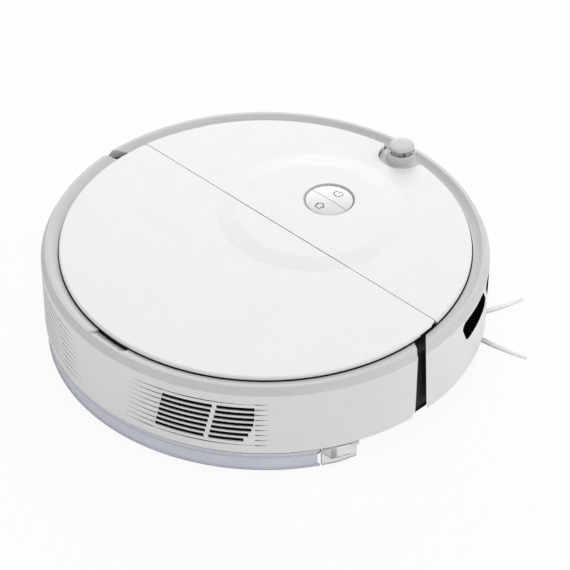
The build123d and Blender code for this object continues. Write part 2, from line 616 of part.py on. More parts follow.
def rear_lid():
    lid = cover_disc() & nose(LID_NOSE_R)
    edge_x = sqrt(COVER_R ** 2 - LID_SPLIT_Y ** 2)
    corner = flat([(edge_x - LID_CORNER, LID_SPLIT_Y), (edge_x + 5, LID_SPLIT_Y), (edge_x + 5, LID_SPLIT_Y - 7),
                   (edge_x + 0.9, LID_SPLIT_Y - 7)])
    lid -= both_sides(standing(corner, 0, REACH))
    relief = flat([(edge_x - LID_RELIEF, LID_SPLIT_Y + 1), (edge_x + 5, LID_SPLIT_Y + 1),
                   (edge_x + 5, LID_RELIEF_FROM), (edge_x - 0.6, LID_RELIEF_FROM)])
    lid -= both_sides(standing(relief, 0, COVER_LOW + LID_RELIEF_H))
    knuckles = []
    knuckle_r = LID_PIN_D / 2 + KNUCKLE_WALL
    for x in CRADLE_X:
        for side in (-1, 1):
            for offset in (-6.0, 6.0):
                centre = side * x + offset
                knuckles.append(rod_x(centre - 2.0, centre + 2.0, HINGE_Y, HINGE_Z, knuckle_r))
    lid = lid + knuckles
    ribs = [slab(-COVER_R, COVER_R, y - 0.75, y + 0.75, COVER_LOW - 1.6, COVER_LOW) for y in (-60.0, -110.0)]
    field = rod_z(0, 0, 0, REACH, COVER_R - 12.0)
    lid = lid + [rib & field for rib in ribs]
    half = CRADLE_W / 2 + RUN
    free_r = LID_PIN_D / 2 + CRADLE_WALL + RUN
    for x in CRADLE_X:
        for side in (-1, 1):
            lid -= rod_x(side * x - 10, side * x + 10, HINGE_Y, HINGE_Z, LID_PIN_D / 2 + 0.05)
            lid -= rod_x(side * x - half, side * x + half, HINGE_Y, HINGE_Z, free_r)
    return lid


def lid_hinge_pins():
    return [rod_x(side * x - 8.0, side * x + 8.0, HINGE_Y, HINGE_Z, LID_PIN_D / 2)
            for x in CRADLE_X for side in (-1, 1)]


# ---------------------------------------------------------------- buttons
BUTTON_TOP = BODY_TOP + PLATEAU_H - BUTTON_SINK


def half_button(front):
    """Half of the crowned push plate with the stem below it."""
    r, low = BUTTON_R - RUN, BUTTON_TOP - BUTTON_T
    middle = (r / 2, BUTTON_TOP + BUTTON_CROWN * 3 / 4)
    corners = [(0, BUTTON_TOP + BUTTON_CROWN), (0, low), (r, low), (r, BUTTON_TOP)]
    outline = [ThreePointArc(corners[-1], middle, corners[0])]
    outline += [Line(a, b) for a, b in zip(corners, corners[1:])]
    disc = Pos(0, BUTTON_Y, 0) * revolve(Plane.XZ * make_face(outline), Axis.Z)
    side = 1 if front else -1
    half = slab(-REACH, REACH, BUTTON_Y + RUN, REACH, 0, REACH)
    if not front:
        half = slab(-REACH, REACH, -REACH, BUTTON_Y - RUN, 0, REACH)
    return (disc & half) + rod_z(0, BUTTON_Y + side * 9.0, DECK_TOP, low, 3.0)


def button_bezel():
    """Bright ring whose inner side slopes down to the buttons."""
    outer, top = BUTTON_R + BEZEL_W, BODY_TOP + PLATEAU_H + 0.1
    ring = turned([(BUTTON_R, DECK_TOP), (outer, DECK_TOP), (outer, top), (outer - 0.3, top),
                   (BUTTON_R, top - BUTTON_SINK - 0.6)])
    return Pos(0, BUTTON_Y, 0) * ring


# ---------------------------------------------------------------- bumper
PEDESTAL_TOP = BODY_TOP + PEDESTAL_H
BUMPER_LOW = DECK_TOP + 0.8              # underside of the bumper's rim, above the deck


def turret_foot():
    """Sensor turret's pedestal and the shelf round it; the shelf slides under the cover's edge."""
    shelf_r, shelf_z = TURRET_SLOT - PAD_EDGE_IN, COVER_LOW - 1.0
    blend = TURRET_SLOT - BUMPER_TRAVEL
    base = (PEDESTAL_R, BODY_TOP - 0.4)
    middle = (PEDESTAL_R + 1.2, (base[1] + shelf_z) / 2 - 0.9)
    corners = [base, (PEDESTAL_R, PEDESTAL_TOP - 0.4), (PEDESTAL_R - 0.4, PEDESTAL_TOP), (0, PEDESTAL_TOP),
               (0, BUMPER_LOW), (shelf_r, BUMPER_LOW), (shelf_r, shelf_z), (blend, shelf_z)]
    outline = [ThreePointArc(corners[-1], middle, base)] + [Line(a, b) for a, b in zip(corners, corners[1:])]
    foot = Pos(0, TURRET_Y, 0) * revolve(Plane.XZ * make_face(outline), Axis.Z)
    bridge = slab(-shelf_r, shelf_r, TURRET_Y, BODY_R, BUMPER_LOW, shelf_z)
    return (foot + bridge) & rod_z(0, 0, 0, REACH, BODY_R - SHELL_WALL)


def bumper_shell():
    """Front wall and rim with window pockets, thinned ends and the turret's foot."""
    inner = [(SLOPE_R + 0.4, BUMPER_LOW), (BODY_R - SHELL_WALL, BUMPER_LOW), (BODY_R - SHELL_WALL, WALL_FOOT)]
    shell = turned_section(rim_section(inner), BUMPER_END_DEG, 180 - 2 * BUMPER_END_DEG)
    behind = Rot(END_LEAN, 0, 0) * standing(end_cut(BUMPER_END_Y, BUMPER_SLANT, False), -REACH, 2 * REACH)
    shell -= both_sides(behind)
    shell += turret_foot()
    shell -= rod_z(0, TURRET_Y, PEDESTAL_TOP - 1.0, REACH, LENS_R + 0.3)
    shell -= rod_z(0, TURRET_Y, 0, PEDESTAL_TOP - 3.0, LENS_R - 1.5)
    pocket = WINDOW_T + 0.02
    return shell - side_window(pocket, 0) - mirrored(side_window(pocket, 0)) - front_window(pocket, 0)


def wall_skin(from_deg, to_deg, depth, gap):
    """A band of the wall's outer skin at window height."""
    low, high = WINDOW_LOW + gap, WINDOW_HIGH - gap
    return turned([(BODY_R - depth, low), (BODY_R, low), (BODY_R, high), (BODY_R - depth, high)],
                  from_deg, to_deg - from_deg)


def through_wall(outline, at_deg):
    """A flat outline in the wall's tangent plane, pushed radially through the wall."""
    spot = polar(BODY_R - 15.0, at_deg, (WINDOW_LOW + WINDOW_HIGH) / 2)
    plane = Plane(spot, x_dir=polar(1, at_deg + 90), z_dir=polar(1, at_deg))
    return extrude(plane * outline, 30.0)


def window_corners(left, right, left_lean, right_lean, gap):
    half = (WINDOW_HIGH - WINDOW_LOW) / 2 - gap
    left, right = left + gap, right - gap
    return [(left - left_lean / 2, half), (left + left_lean / 2, -half),
            (right + right_lean / 2, -half), (right - right_lean / 2, half)]


def side_window(depth, gap):
    """Slanted window with rounded corners in the bumper's side."""
    middle = (SIDE_WINDOW_FROM + SIDE_WINDOW_TO) / 2
    half = BODY_R * sin(radians(SIDE_WINDOW_TO - middle))
    outline = flat(window_corners(-half, half, WINDOW_SLANT, WINDOW_END_SLANT, gap))
    blunt = outline.vertices().sort_by(Axis.Y)[:2].sort_by(Axis.X)[0]
    outline = fillet([v for v in outline.vertices() if v != blunt], WINDOW_ROUND)
    outline = fillet(outline.vertices().sort_by(Axis.Y)[:3].sort_by(Axis.X)[0], 1.6 * WINDOW_ROUND)
    return wall_skin(middle - 15, middle + 15, depth, gap) & through_wall(outline, middle)


def front_window(depth, gap):
    """Long window round the front with slanted, rounded ends."""
    at, tail = FRONT_WINDOW_FROM + 8.0, 12.0
    left = -BODY_R * sin(radians(8.0))
    outline = flat(window_corners(left, tail + gap, WINDOW_END_SLANT, 0, gap))
    outline = fillet(outline.vertices().sort_by(Axis.X)[:2], WINDOW_ROUND)
    end = wall_skin(at - 15, at + 15, depth, gap) & through_wall(outline, at)
    return wall_skin(at + 2.0, 178.0 - at, depth, gap) + end + mirrored(end)


def turret_lens():
    """Clear ring between pedestal and cap."""
    low, top = PEDESTAL_TOP - 0.98, BODY_TOP + TURRET_H - CAP_T
    inner = LENS_R - 1.4
    return Pos(0, TURRET_Y, 0) * turned([(inner, low), (LENS_R, low), (LENS_R, top), (inner, top)])


def turret_core():
    """Waisted optical body inside the lens ring."""
    low, top = PEDESTAL_TOP - 0.98, BODY_TOP + TURRET_H - CAP_T
    edge, waist = LENS_R - 1.6, LENS_R - 4.6
    return Pos(0, TURRET_Y, 0) * turned([(0, low), (edge, low), (edge, low + 1.0), (waist, low + 2.6),
                                         (waist, top - 1.6), (edge, top - 0.2), (edge, top), (0, top)])


def turret_cap():
    """Flat cap with a rounded edge."""
    low = BODY_TOP + TURRET_H - CAP_T
    top = low + CAP_T
    return Pos(0, TURRET_Y, 0) * turned([(0, low), (CAP_R - 0.2, low), (CAP_R, low + 0.3),
                                         (CAP_R - 0.1, low + 0.7), (CAP_R - 0.7, low + 1.2),
                                         (CAP_R - 2.0, top - 0.25), (CAP_R - 4.5, top), (0, top)])


def bump_switches():
    switches = []
    for angle in (SWITCH_DEG, 180 - SWITCH_DEG):
        r = INNER_R - SHELL_WALL
        body = slab(r - 7.0, r - 0.2, -6.5, 6.5, DECK_LOW - 18.0, DECK_LOW - 6.0)
        plunger = rod_x(r - 0.2, BODY_R - SHELL_WALL - BUMPER_TRAVEL, 0, DECK_LOW - 12.0, 1.4)
        switches.append(Rot(0, 0, angle) * (body + plunger))
    return switches


# ---------------------------------------------------------------- wheels
def wheel_arm():
    """Gearbox housing from pivot to wheel axle, with the motor's bulge and the axle stub."""
    x0, x1 = ARM_X - ARM_W / 2, ARM_X + ARM_W / 2
    pivot = rod_x(x0, x1, PIVOT_Y, PIVOT_Z, 8.0)
    hub = rod_x(x0 + 6.0, x1, 0, WHEEL_R, 15.0)
    lean = degrees(asin((15.0 - 8.0) / sqrt(ARM_REACH ** 2 + ARM_RISE ** 2)))
    side = flat([(PIVOT_Y, PIVOT_Z + 8.0), (0, WHEEL_R + 15.0), (0, WHEEL_R - 15.0), (PIVOT_Y, PIVOT_Z - 8.0)])
    web = Pos(x0 + 6.0, 0, 0) * extrude(Plane.YZ * side, x1 - x0 - 6.0)
    motor = rod_x(x0, x0 + 7.0, -14.0, WHEEL_R + 1.5, 11.5)
    axle = rod_x(x1 - 1.0, WHEEL_X + WHEEL_W / 2 - 5.0, 0, WHEEL_R, AXLE_D / 2)
    arm = pivot + hub + web + motor + axle
    return arm - rod_x(x0 - 1, x1 + 1, PIVOT_Y, PIVOT_Z, PIVOT_D / 2 + 0.05)


def arm_pivot():
    x0 = ARM_X - ARM_W / 2 - WELL_GAP - WELL_WALL
    x1 = WHEEL_X + WHEEL_W / 2 + WELL_GAP + WELL_WALL
    return rod_x(x0, x1, PIVOT_Y, PIVOT_Z, PIVOT_D / 2)


def wheel_disc():
    r = WHEEL_R - TYRE_T
    x0, x1 = WHEEL_X - WHEEL_W / 2, WHEEL_X + WHEEL_W / 2
    rim = rod_x(x0 + 0.8, x1 - 0.8, 0, WHEEL_R, r) - rod_x(x0 + 0.7, x1 - 4.0, 0, WHEEL_R, r - 2.5)
    boss = rod_x(x0 + 0.8, x1 - 3.0, 0, WHEEL_R, AXLE_D / 2 + 3.0)
    disc = rim + boss
    for k in range(6):
        hole = Pos(0, 0, r * 0.62) * Rot(0, 90, 0) * Cylinder(4.2, 3 * WHEEL_W)
        disc -= Pos(WHEEL_X, 0, WHEEL_R) * Rot(60 * k, 0, 0) * hole
    return disc - rod_x(x0, x1 - 4.6, 0, WHEEL_R, AXLE_D / 2 + 0.06)


def wheel_tyre():
    r = WHEEL_R
    ring = rod_x(WHEEL_X - WHEEL_W / 2, WHEEL_X + WHEEL_W / 2, 0, r, r)
    ring -= rod_x(WHEEL_X - WHEEL_W, WHEEL_X + WHEEL_W, 0, r, r - TYRE_T)
    for k in range(TREADS):
        cut = Pos(0, 0, r) * Box(WHEEL_W + 2, 3.4, 2 * 1.8)
        ring -= Pos(WHEEL_X, 0, r) * Rot((k + 0.5) * 360 / TREADS, 0, 0) * cut
    return ring


# ---------------------------------------------------------------- caster
CASTER_WHEEL_Y = CASTER_Y - CASTER_TRAIL


def caster_fork():
    r = CASTER_D / 2
    table = rod_z(0, CASTER_Y, CASTER_D + 1.5, CASTER_D + 5.0, 17.0)
    cheeks = both_sides(slab(CASTER_W / 2 + RUN, CASTER_W / 2 + RUN + 2.4, CASTER_WHEEL_Y - 6.0,
                             CASTER_WHEEL_Y + 9.0, r - 5.0, CASTER_D + 2.0))
    stem = rod_z(0, CASTER_Y, CASTER_D + 4.0, STEM_TOP, CASTER_STEM_D / 2)
    return table + cheeks + stem - rod_x(-REACH, REACH, CASTER_WHEEL_Y, r, 1.55)


def caster_axle():
    half = CASTER_W / 2 + RUN + 2.4
    return rod_x(-half, half, CASTER_WHEEL_Y, CASTER_D / 2, 1.5)


def caster_wheel():
    r, half, corner = CASTER_D / 2, CASTER_W / 2, 2.0
    wheel = turned([(1.56, -half), (r - corner, -half), (r, corner - half), (r, half - corner),
                    (r - corner, half), (1.56, half)])
    return Pos(0, CASTER_WHEEL_Y, r) * Rot(0, 90, 0) * wheel


# ---------------------------------------------------------------- main brush
def brush_core():
    half = BRUSH_L / 2
    core = rod_x(-half, half, BRUSH_Y, BRUSH_Z, BRUSH_CORE_D / 2)
    return core + rod_x(-half - BAY_GAP, half + BAY_GAP, BRUSH_Y, BRUSH_Z, 3.0)


def blade_section(x, angle):
    """Radial slice of one blade, seen along the brush."""
    slice_face = Pos((BRUSH_CORE_D / 2 + BRUSH_R) / 2, 0) * Rectangle(BRUSH_R - BRUSH_CORE_D / 2 + 1.0, BLADE_T)
    outward = (0, cos(radians(angle)), sin(radians(angle)))
    return Plane((x, BRUSH_Y, BRUSH_Z), x_dir=outward, z_dir=(1, 0, 0)) * slice_face


def brush_blades():
    """Chevron blades on a sleeve, notched where the guard's bars pass."""
    inner = BRUSH_CORE_D / 2 + 0.02
    half = BRUSH_L / 2 - 4.0
    steps = 4
    blades = rod_x(-half, half, BRUSH_Y, BRUSH_Z, inner + 1.2)
    for k in range(BRUSH_BLADES):
        start = k * 360 / BRUSH_BLADES
        for side in (-1, 1):
            for step in range(steps):
                ends = [blade_section(side * half * t / steps, start + BRUSH_TWIST * t / steps)
                        for t in (step, step + 1)]
                blades += loft(ends, ruled=True)
    blades -= rod_x(-REACH, REACH, BRUSH_Y, BRUSH_Z, inner)
    for x in GUARD_BARS:
        groove = rod_x(x - GUARD_BAR_W, x + GUARD_BAR_W, BRUSH_Y, BRUSH_Z, BRUSH_R + 2.0)
        blades -= groove - rod_x(x - 5.0, x + 5.0, BRUSH_Y, BRUSH_Z, BRUSH_Z - GUARD_BAR_TOP - RUN)
    return blades


def brush_guard():
    """Removable cage under the brush with cross bars and two latch tabs."""
    z0, z1 = GROUND_GAP - GUARD_T, GROUND_GAP
    outer = slab(-BAY_X - 4, BAY_X + 4, BRUSH_Y - BAY_R - 5, BRUSH_Y + BAY_R + 5, z0, z1)
    outer = fillet(outer.edges().filter_by(Axis.Z), 4.0)
    cut = BRUSH_R + 1.0
    guard = outer - slab(-BAY_X + 2, BAY_X - 2, BRUSH_Y - cut, BRUSH_Y + cut, 0, REACH)
    half, low = GUARD_BAR_W / 2, GUARD_BAR_TOP - 1.2
    for x in GUARD_BARS:
        guard += slab(x - half, x + half, BRUSH_Y - cut - 1, BRUSH_Y + cut + 1, low, GUARD_BAR_TOP)
        guard += slab(x - half, x + half, BRUSH_Y - cut - 1.6, BRUSH_Y - cut + 0.2, low, z0 + 1)
        guard += slab(x - half, x + half, BRUSH_Y + cut - 0.2, BRUSH_Y + cut + 1.6, low, z0 + 1)
    return guard


def brush_bearings():
    caps = []
    for side in (-1, 1):
        x0 = side * (BRUSH_L / 2 + 0.8)
        x1 = side * (BAY_X - 0.02)
        cap = rod_x(min(x0, x1), max(x0, x1), BRUSH_Y, BRUSH_Z, 9.0)
        caps.append(cap - rod_x(-REACH, REACH, BRUSH_Y, BRUSH_Z, 3.05))
    return caps


def brush_gearbox():
    x1 = BRUSH_DRIVE_X - 0.02
    case = slab(x1 - 12.0, x1, BRUSH_Y - 6.0, BRUSH_Y + 27.0, FLOOR_TOP, FLOOR_TOP + 34.0)
    return fillet(case.edges().filter_by(Axis.X), 5.0)


# ---------------------------------------------------------------- side brush
def side_brush_hub():
    z = SIDE_ARM_Z
    r = SIDE_HUB_D / 2
    hub = turned([(0, z - 2.0), (r - 3.0, z - 2.0), (r, z), (r, z + 4.0), (r - 3.0, z + 8.0),
                  (3.0, z + 8.0), (3.0, SIDE_CUP_TOP + 2.0), (0, SIDE_CUP_TOP + 2.0)])
    return Pos(SIDE_X, SIDE_Y, 0) * hub


def side_brush_arms():
    """Soft bowed arms that droop from the hub to the ground."""
    z = SIDE_ARM_Z
    root, tip = SIDE_HUB_D / 2 + 0.02, SIDE_ARM_R
    middle = (root + tip) / 2
    collar = turned([(root, z + 0.2), (root + 2.0, z + 0.2), (root + 2.0, z + 2.4), (root, z + 2.4)])
    side = Plane.XZ * flat([(root + 0.5, z + 0.3), (tip, 0.6), (tip, 2.0), (root + 0.5, z + 2.2)])
    plan = make_face([
        ThreePointArc((root, -2.2), (middle, -SIDE_ARM_BOW - 1.9), (tip, -0.9)), Line((tip, -0.9), (tip, 0.9)),
        ThreePointArc((tip, 0.9), (middle, -SIDE_ARM_BOW + 1.9), (root, 2.2)), Line((root, 2.2), (root, -2.2)),
    ])
    arm = extrude(side, 8.0, both=True) & standing(plan, -5, REACH)
    arms = [Rot(0, 0, SIDE_FIRST_ARM + k * 360 / SIDE_ARMS) * arm for k in range(SIDE_ARMS)]
    return Pos(SIDE_X, SIDE_Y, 0) * (collar + arms)


def side_brush_gearbox():
    base = SIDE_CUP_TOP + 2.0
    case = rod_z(SIDE_X, SIDE_Y, base, base + 16.0, 16.0)
    return case + rod_z(SIDE_X - 8.0, SIDE_Y - 4.0, base + 15.0, base + 34.0, 11.0)


# ---------------------------------------------------------------- dustbin, filter, fan
BIN_LOW = RECESS_ROOF
BIN_TOP = DECK_TOP - 4.0
FILTER_Y = FAN_Y + 8.0
FILTER_Z = (BIN_LOW + BIN_TOP) / 2
FAN_LOW = RECESS_ROOF + 4.0


def filter_block(grow, x0, x1):
    return slab(x0, x1, FILTER_Y - FILTER_L / 2 - grow, FILTER_Y + FILTER_L / 2 + grow,
                FILTER_Z - FILTER_H / 2 - grow, FILTER_Z + FILTER_H / 2 + grow)


def dustbin():
    w = BIN_WALL
    box = standing(bin_outline(), BIN_LOW, BIN_TOP) - standing(bin_outline(-w), BIN_LOW + w, REACH)
    mouth = slab(-DUCT_HALF, DUCT_HALF, BIN_FRONT - 2 * w, BIN_FRONT + 1, DUCT_LOW, DUCT_HIGH)
    return box - mouth - filter_block(-3.0, BIN_RIGHT - 2 * w, BIN_RIGHT + 1)


def dustbin_lid():
    """Lid with a sunken hand hole and its grip bar."""
    lid = standing(bin_outline(), BIN_TOP, DECK_TOP)
    pocket = slab(-48.0, 10.0, -86.0, -44.0, BIN_TOP - 12.0, REACH)
    cup = slab(-50.0, 12.0, -88.0, -42.0, BIN_TOP - 14.0, BIN_TOP + 0.5)
    lid = lid + cup - fillet(pocket.edges().filter_by(Axis.Z), 5.0)
    grip = slab(-49.0, 11.0, -69.0, -61.0, DECK_TOP - 3.6, DECK_TOP)
    return lid + grip


def filter_frame():
    x1 = BIN_RIGHT - BIN_WALL - 0.02
    x0 = x1 - FILTER_T
    return filter_block(0, x0, x1) - filter_block(-2.4, x0 - 1, x1 + 1)


def filter_pleats():
    """Zig-zag filter paper in its frame."""
    x1 = BIN_RIGHT - BIN_WALL - 1.2
    x0 = x1 - FILTER_T + 2.4
    count = 12
    y0 = FILTER_Y - FILTER_L / 2 + 2.45
    step = (FILTER_L - 4.9) / count
    front = [(x0 if k % 2 else x1 - 1.2, y0 + k * step) for k in range(count + 1)]
    back = [(x + 1.2, y) for x, y in reversed(front)]
    return standing(flat(front + back), FILTER_Z - FILTER_H / 2 + 2.45, FILTER_Z + FILTER_H / 2 - 2.45)


def fan_housing():
    """Scroll housing: round case, inlet tube from the filter and outlet towards the grille."""
    z0, z1 = FAN_LOW, FAN_LOW + FAN_H
    case = rod_z(FAN_X, FAN_Y, z0, z1, FAN_R + 2.0)
    foot = rod_z(FAN_X, FAN_Y, RECESS_ROOF, z0 + 0.5, FAN_R - 6.0)
    neck_y0, neck_y1 = FILTER_Y - 13.0, FILTER_Y + 13.0
    neck = slab(BIN_RIGHT + BIN_FIT, FAN_X, neck_y0, neck_y1, z0, z1)
    out_angle = -(SLOT_FROM + SLOT_TO) / 2
    outlet = Pos(FAN_X, FAN_Y, (z0 + z1) / 2) * Rot(0, 0, out_angle) * Pos(21, 0, 0) * Box(42, 34, z1 - z0)
    outlet &= rod_z(0, 0, 0, REACH, INNER_R - SHELL_WALL - 0.05)
    house = case + neck + outlet + foot
    hollow = rod_z(FAN_X, FAN_Y, z0 + 2.0, z1 - 2.0, FAN_R)
    hollow += slab(BIN_RIGHT - 1, FAN_X, neck_y0 + 2, neck_y1 - 2, z0 + 2, z1 - 2)
    hollow += Pos(FAN_X, FAN_Y, (z0 + z1) / 2) * Rot(0, 0, out_angle) * Pos(40, 0, 0) * Box(80, 30, z1 - z0 - 4)
    return house - hollow - rod_z(FAN_X, FAN_Y, z1 - 3, REACH, 3.4)


def fan_motor():
    z1 = FAN_LOW + FAN_H
    can = rod_z(FAN_X, FAN_Y, z1, z1 + 18.0, 17.0)
    shaft = rod_z(FAN_X, FAN_Y, FAN_LOW + 5.0, z1 + 1.0, 2.0)
    return can + shaft


def fan_impeller():
    z0 = FAN_LOW + 4.0
    z1 = FAN_LOW + FAN_H - 5.0
    disc = rod_z(FAN_X, FAN_Y, z0, z0 + 1.8, FAN_R - 5.0) + rod_z(FAN_X, FAN_Y, z0, z1, 5.0)
    for k in range(FAN_BLADES):
        blade = Pos(FAN_R / 2, 2.0, (z0 + z1) / 2) * Rot(0, 0, 24) * Box(FAN_R - 10.0, 1.4, z1 - z0)
        disc += Pos(FAN_X, FAN_Y, 0) * Rot(0, 0, k * 360 / FAN_BLADES) * blade
    return disc - rod_z(FAN_X, FAN_Y, 0, REACH, 2.06)


# ---------------------------------------------------------------- electrics
def battery_pack():
    """Two by two round cells under a shrink sleeve, with a connector block."""
    x1 = BIN_LEFT - BIN_FIT - 0.5
    y1 = PIVOT_Y - WELL_GAP - PIVOT_D - WELL_WALL - 0.5
    cells = []
    for i in range(2):
        for k in range(2):
            x = x1 - CELL_D / 2 - i * (CELL_D - 0.4)
            z = RECESS_ROOF + CELL_D / 2 + k * (CELL_D - 0.4)
            cells.append(rod_y(x, y1 - CELL_L, y1, z, CELL_D / 2))
    x0 = x1 - 2 * CELL_D + 0.4
    core = slab(x0 + CELL_D / 2, x1 - CELL_D / 2, y1 - CELL_L, y1, RECESS_ROOF, RECESS_ROOF + 2 * CELL_D - 0.4)
    core += slab(x0, x1, y1 - CELL_L, y1, RECESS_ROOF + CELL_D / 2, RECESS_ROOF + 1.5 * CELL_D - 0.4)
    return core + cells


def main_board():
    """Circuit board on four stand-offs, with a shielded module and two connector strips."""
    top = BOARD_Z + 1.6
    plate = slab(-BOARD_HALF, BOARD_HALF, BOARD_BACK, BOARD_FRONT - 8.0, BOARD_Z, top)
    posts = [rod_z(x, y, FLOOR_TOP, BOARD_Z, 3.0) for x, y in POST_SPOTS]
    shield = slab(-40, -18, BOARD_BACK + 17, BOARD_BACK + 39, top, top + 3.0)
    strips = [slab(x, x + 34, BOARD_FRONT - 20, BOARD_FRONT - 13, top, top + 7.0) for x in (-50, 12)]
    return plate + posts + shield + strips


def speaker():
    """Shallow basket with its magnet."""
    z = FLOOR_TOP
    return Pos(SPEAKER_X, SPEAKER_Y, 0) * turned([(0, z), (SPEAKER_R, z), (SPEAKER_R, z + 2.4), (11, z + 8.0),
                                                  (11, z + 14.0), (0, z + 14.0)])


def cliff_sensors():
    return [Rot(0, 0, angle) * slab(radius - 4.8, radius + 4.8, -8.8, 8.8, GROUND_GAP + 0.3, FLOOR_TOP + 2.5)
            for radius, angle in CLIFF_SPOTS]


def charging_contacts():
    plates = []
    for x, y in CONTACT_SPOTS:
        half_x, half_y = CONTACT_HALF[0] - 0.1, CONTACT_HALF[1] - 0.1
        plate = slab(x - half_x, x + half_x, y - half_y, y + half_y, GROUND_GAP - 0.3, FLOOR_TOP + 1.0)
        plates.append(fillet(plate.edges().group_by(Axis.Z)[0], 0.8))
    return plates


# ---------------------------------------------------------------- water tank and mop
PLUG_X, PLUG_Y, PLUG_R = -40.0, -90.0, 9.0


def mop_tank():
    """Hollow tank with a filler hole in its top and a flat seat for the cloth below."""
    tank = standing(tank_outline(TANK_LIP_OUT), TANK_LOW, TANK_TOP)
    for z in (TANK_LOW, TANK_TOP - TANK_LIP):
        tank += standing(tank_outline(), z, z + TANK_LIP)
    cavity = standing(tank_outline(TANK_WALL + TANK_LIP_OUT), TANK_LOW + TANK_WALL, TANK_TOP - TANK_WALL)
    x1 = TANK_CLIP_X
    boss = slab(x1 - CLIP_POCKET - TANK_WALL, x1, CLIP_Y - CLIP_WEB - 1.5, CLIP_Y + CLIP_WEB + 1.5, 0, REACH)
    tank -= cavity - both_sides(boss)
    tank -= both_sides(clip_web(x1 - CLIP_POCKET, RUN))
    return tank - rod_z(PLUG_X, PLUG_Y, TANK_TOP - 2 * TANK_WALL, REACH, PLUG_R)


def tank_plug():
    z = TANK_TOP
    return Pos(PLUG_X, PLUG_Y, 0) * turned([(0, z - 3.0), (PLUG_R - 0.05, z - 3.0), (PLUG_R - 0.05, z - 0.2),
                                            (PLUG_R - 1.2, z + 0.1), (0, z + 0.1)])


def mop_cloth():
    """Cloth pad under the tank, lying on the ground."""
    disc = Circle(BODY_R - TANK_EDGE_IN - 9.0)
    kept = Pos(0, TANK_FRONT - 6.0 - REACH / 2) * Rectangle(2 * TANK_CLIP_X - 16.0, REACH)
    pad = disc & kept
    pad = fillet(pad.vertices(), 8.0)
    return standing(pad, 0, CLOTH_T - RUN)


def clip_web(x0, grow):
    """The clip's guide, which slides in a blind pocket in the tank's side."""
    return slab(x0, REACH, CLIP_Y - CLIP_WEB / 2 - grow, CLIP_Y + CLIP_WEB / 2 + grow,
                TANK_LOW + 3.0 - grow, TANK_TOP - 4.0 + grow)


def tank_clip():
    """Squeeze clip that holds the tank to the chassis, right-hand side: curved blade with a slit and a hook."""
    out = BODY_R - TANK_EDGE_IN
    low, high = TANK_LOW, TANK_TOP - 1.0
    blade = turned([(out - 2.6, low), (out, low), (out, high), (out - 2.6, high)],
                   CLIP_FROM, CLIP_TO - CLIP_FROM)
    rise = Pos(out, -14.0, low) * Rot(8.0, 0, 0) * Pos(0, 20.0, -3.0) * Box(20.0, 40.0, 6.0)
    blade -= Rot(0, 0, CLIP_TO) * rise
    blade -= turned([(out - 1.0, low + 4.6), (out + 1, low + 4.4), (out + 1, low + 5.6), (out - 1.0, low + 5.4)],
                    CLIP_TO - 5.4, 3.8)
    hook = turned([(out - 3.6, high - 4.4), (out - 2.2, high - 4.4),
                   (out - 2.2, high - 1.8), (out - 3.6, high - 1.8)], CLIP_TO - 1.0, 2.0)
    web = clip_web(TANK_CLIP_X - CLIP_POCKET + CLIP_TRAVEL + 1.0, 0)
    return blade + hook + (web & rod_z(0, 0, 0, REACH, out - 1.0))


# ---------------------------------------------------------------- write the nodes
PAN_SPLIT = slab(-REACH, REACH, BRUSH_Y, REACH, 0, REACH)
save("chassis_pan_front", bottom_pan() & PAN_SPLIT)
save("chassis_pan_rear", bottom_pan() - PAN_SPLIT)
save("tank_recess", tank_recess())
save("chassis_wall", chassis_wall())
save("wheel_housings", wheel_housing(), mirrored(wheel_housing()))
save("brush_housing", brush_housing())
save("caster_housing", caster_housing())
save("caster_plate", caster_plate())
save("top_deck", top_deck())
save("rear_shell", rear_shell())
save("vent_mesh", vent_mesh())
save("front_cover", front_cover())
save("rear_lid", rear_lid())
save("lid_hinge_pins", *lid_hinge_pins())
save("power_button", half_button(True))
save("home_button", half_button(False))
save("button_bezel", button_bezel())
save("bumper_shell", bumper_shell())
save("side_window_right", side_window(WINDOW_T, WINDOW_FIT))
save("side_window_left", mirrored(side_window(WINDOW_T, WINDOW_FIT)))
save("front_window", front_window(WINDOW_T, WINDOW_FIT))
save("turret_lens", turret_lens())
save("turret_core", turret_core())
save("turret_cap", turret_cap())
save("bump_switches", *bump_switches())
for side_name, place in (("right", lambda shape: shape), ("left", mirrored)):
    save(f"wheel_arm_{side_name}", place(wheel_arm()))
    save(f"drive_wheel_{side_name}", place(wheel_disc()))
    save(f"drive_tyre_{side_name}", place(wheel_tyre()))
    save(f"tank_clip_{side_name}", place(tank_clip()))
save("arm_pivots", arm_pivot(), mirrored(arm_pivot()))
save("caster_fork", caster_fork())
save("caster_axle", caster_axle())
save("caster_wheel", caster_wheel())
save("brush_core", brush_core())
save("brush_blades", brush_blades())
save("brush_guard", brush_guard())
save("brush_bearings", *brush_bearings())
save("brush_gearboxes", brush_gearbox(), side_brush_gearbox())
save("side_brush_hub", side_brush_hub())
save("side_brush_arms", side_brush_arms())
save("dustbin", dustbin())
save("dustbin_lid", dustbin_lid())
save("filter_frame", filter_frame())
save("filter_pleats", filter_pleats())
save("fan_housing", fan_housing())
save("fan_motor", fan_motor())
save("fan_impeller", fan_impeller())
save("battery_pack", battery_pack())
save("main_board", main_board())
save("speaker", speaker())
save("cliff_sensors", *cliff_sensors())
save("charging_contacts", *charging_contacts())
save("mop_tank", mop_tank())
save("tank_plug", tank_plug())
save("mop_cloth", mop_cloth())
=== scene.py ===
from math import cos, pi, radians, sin, sqrt

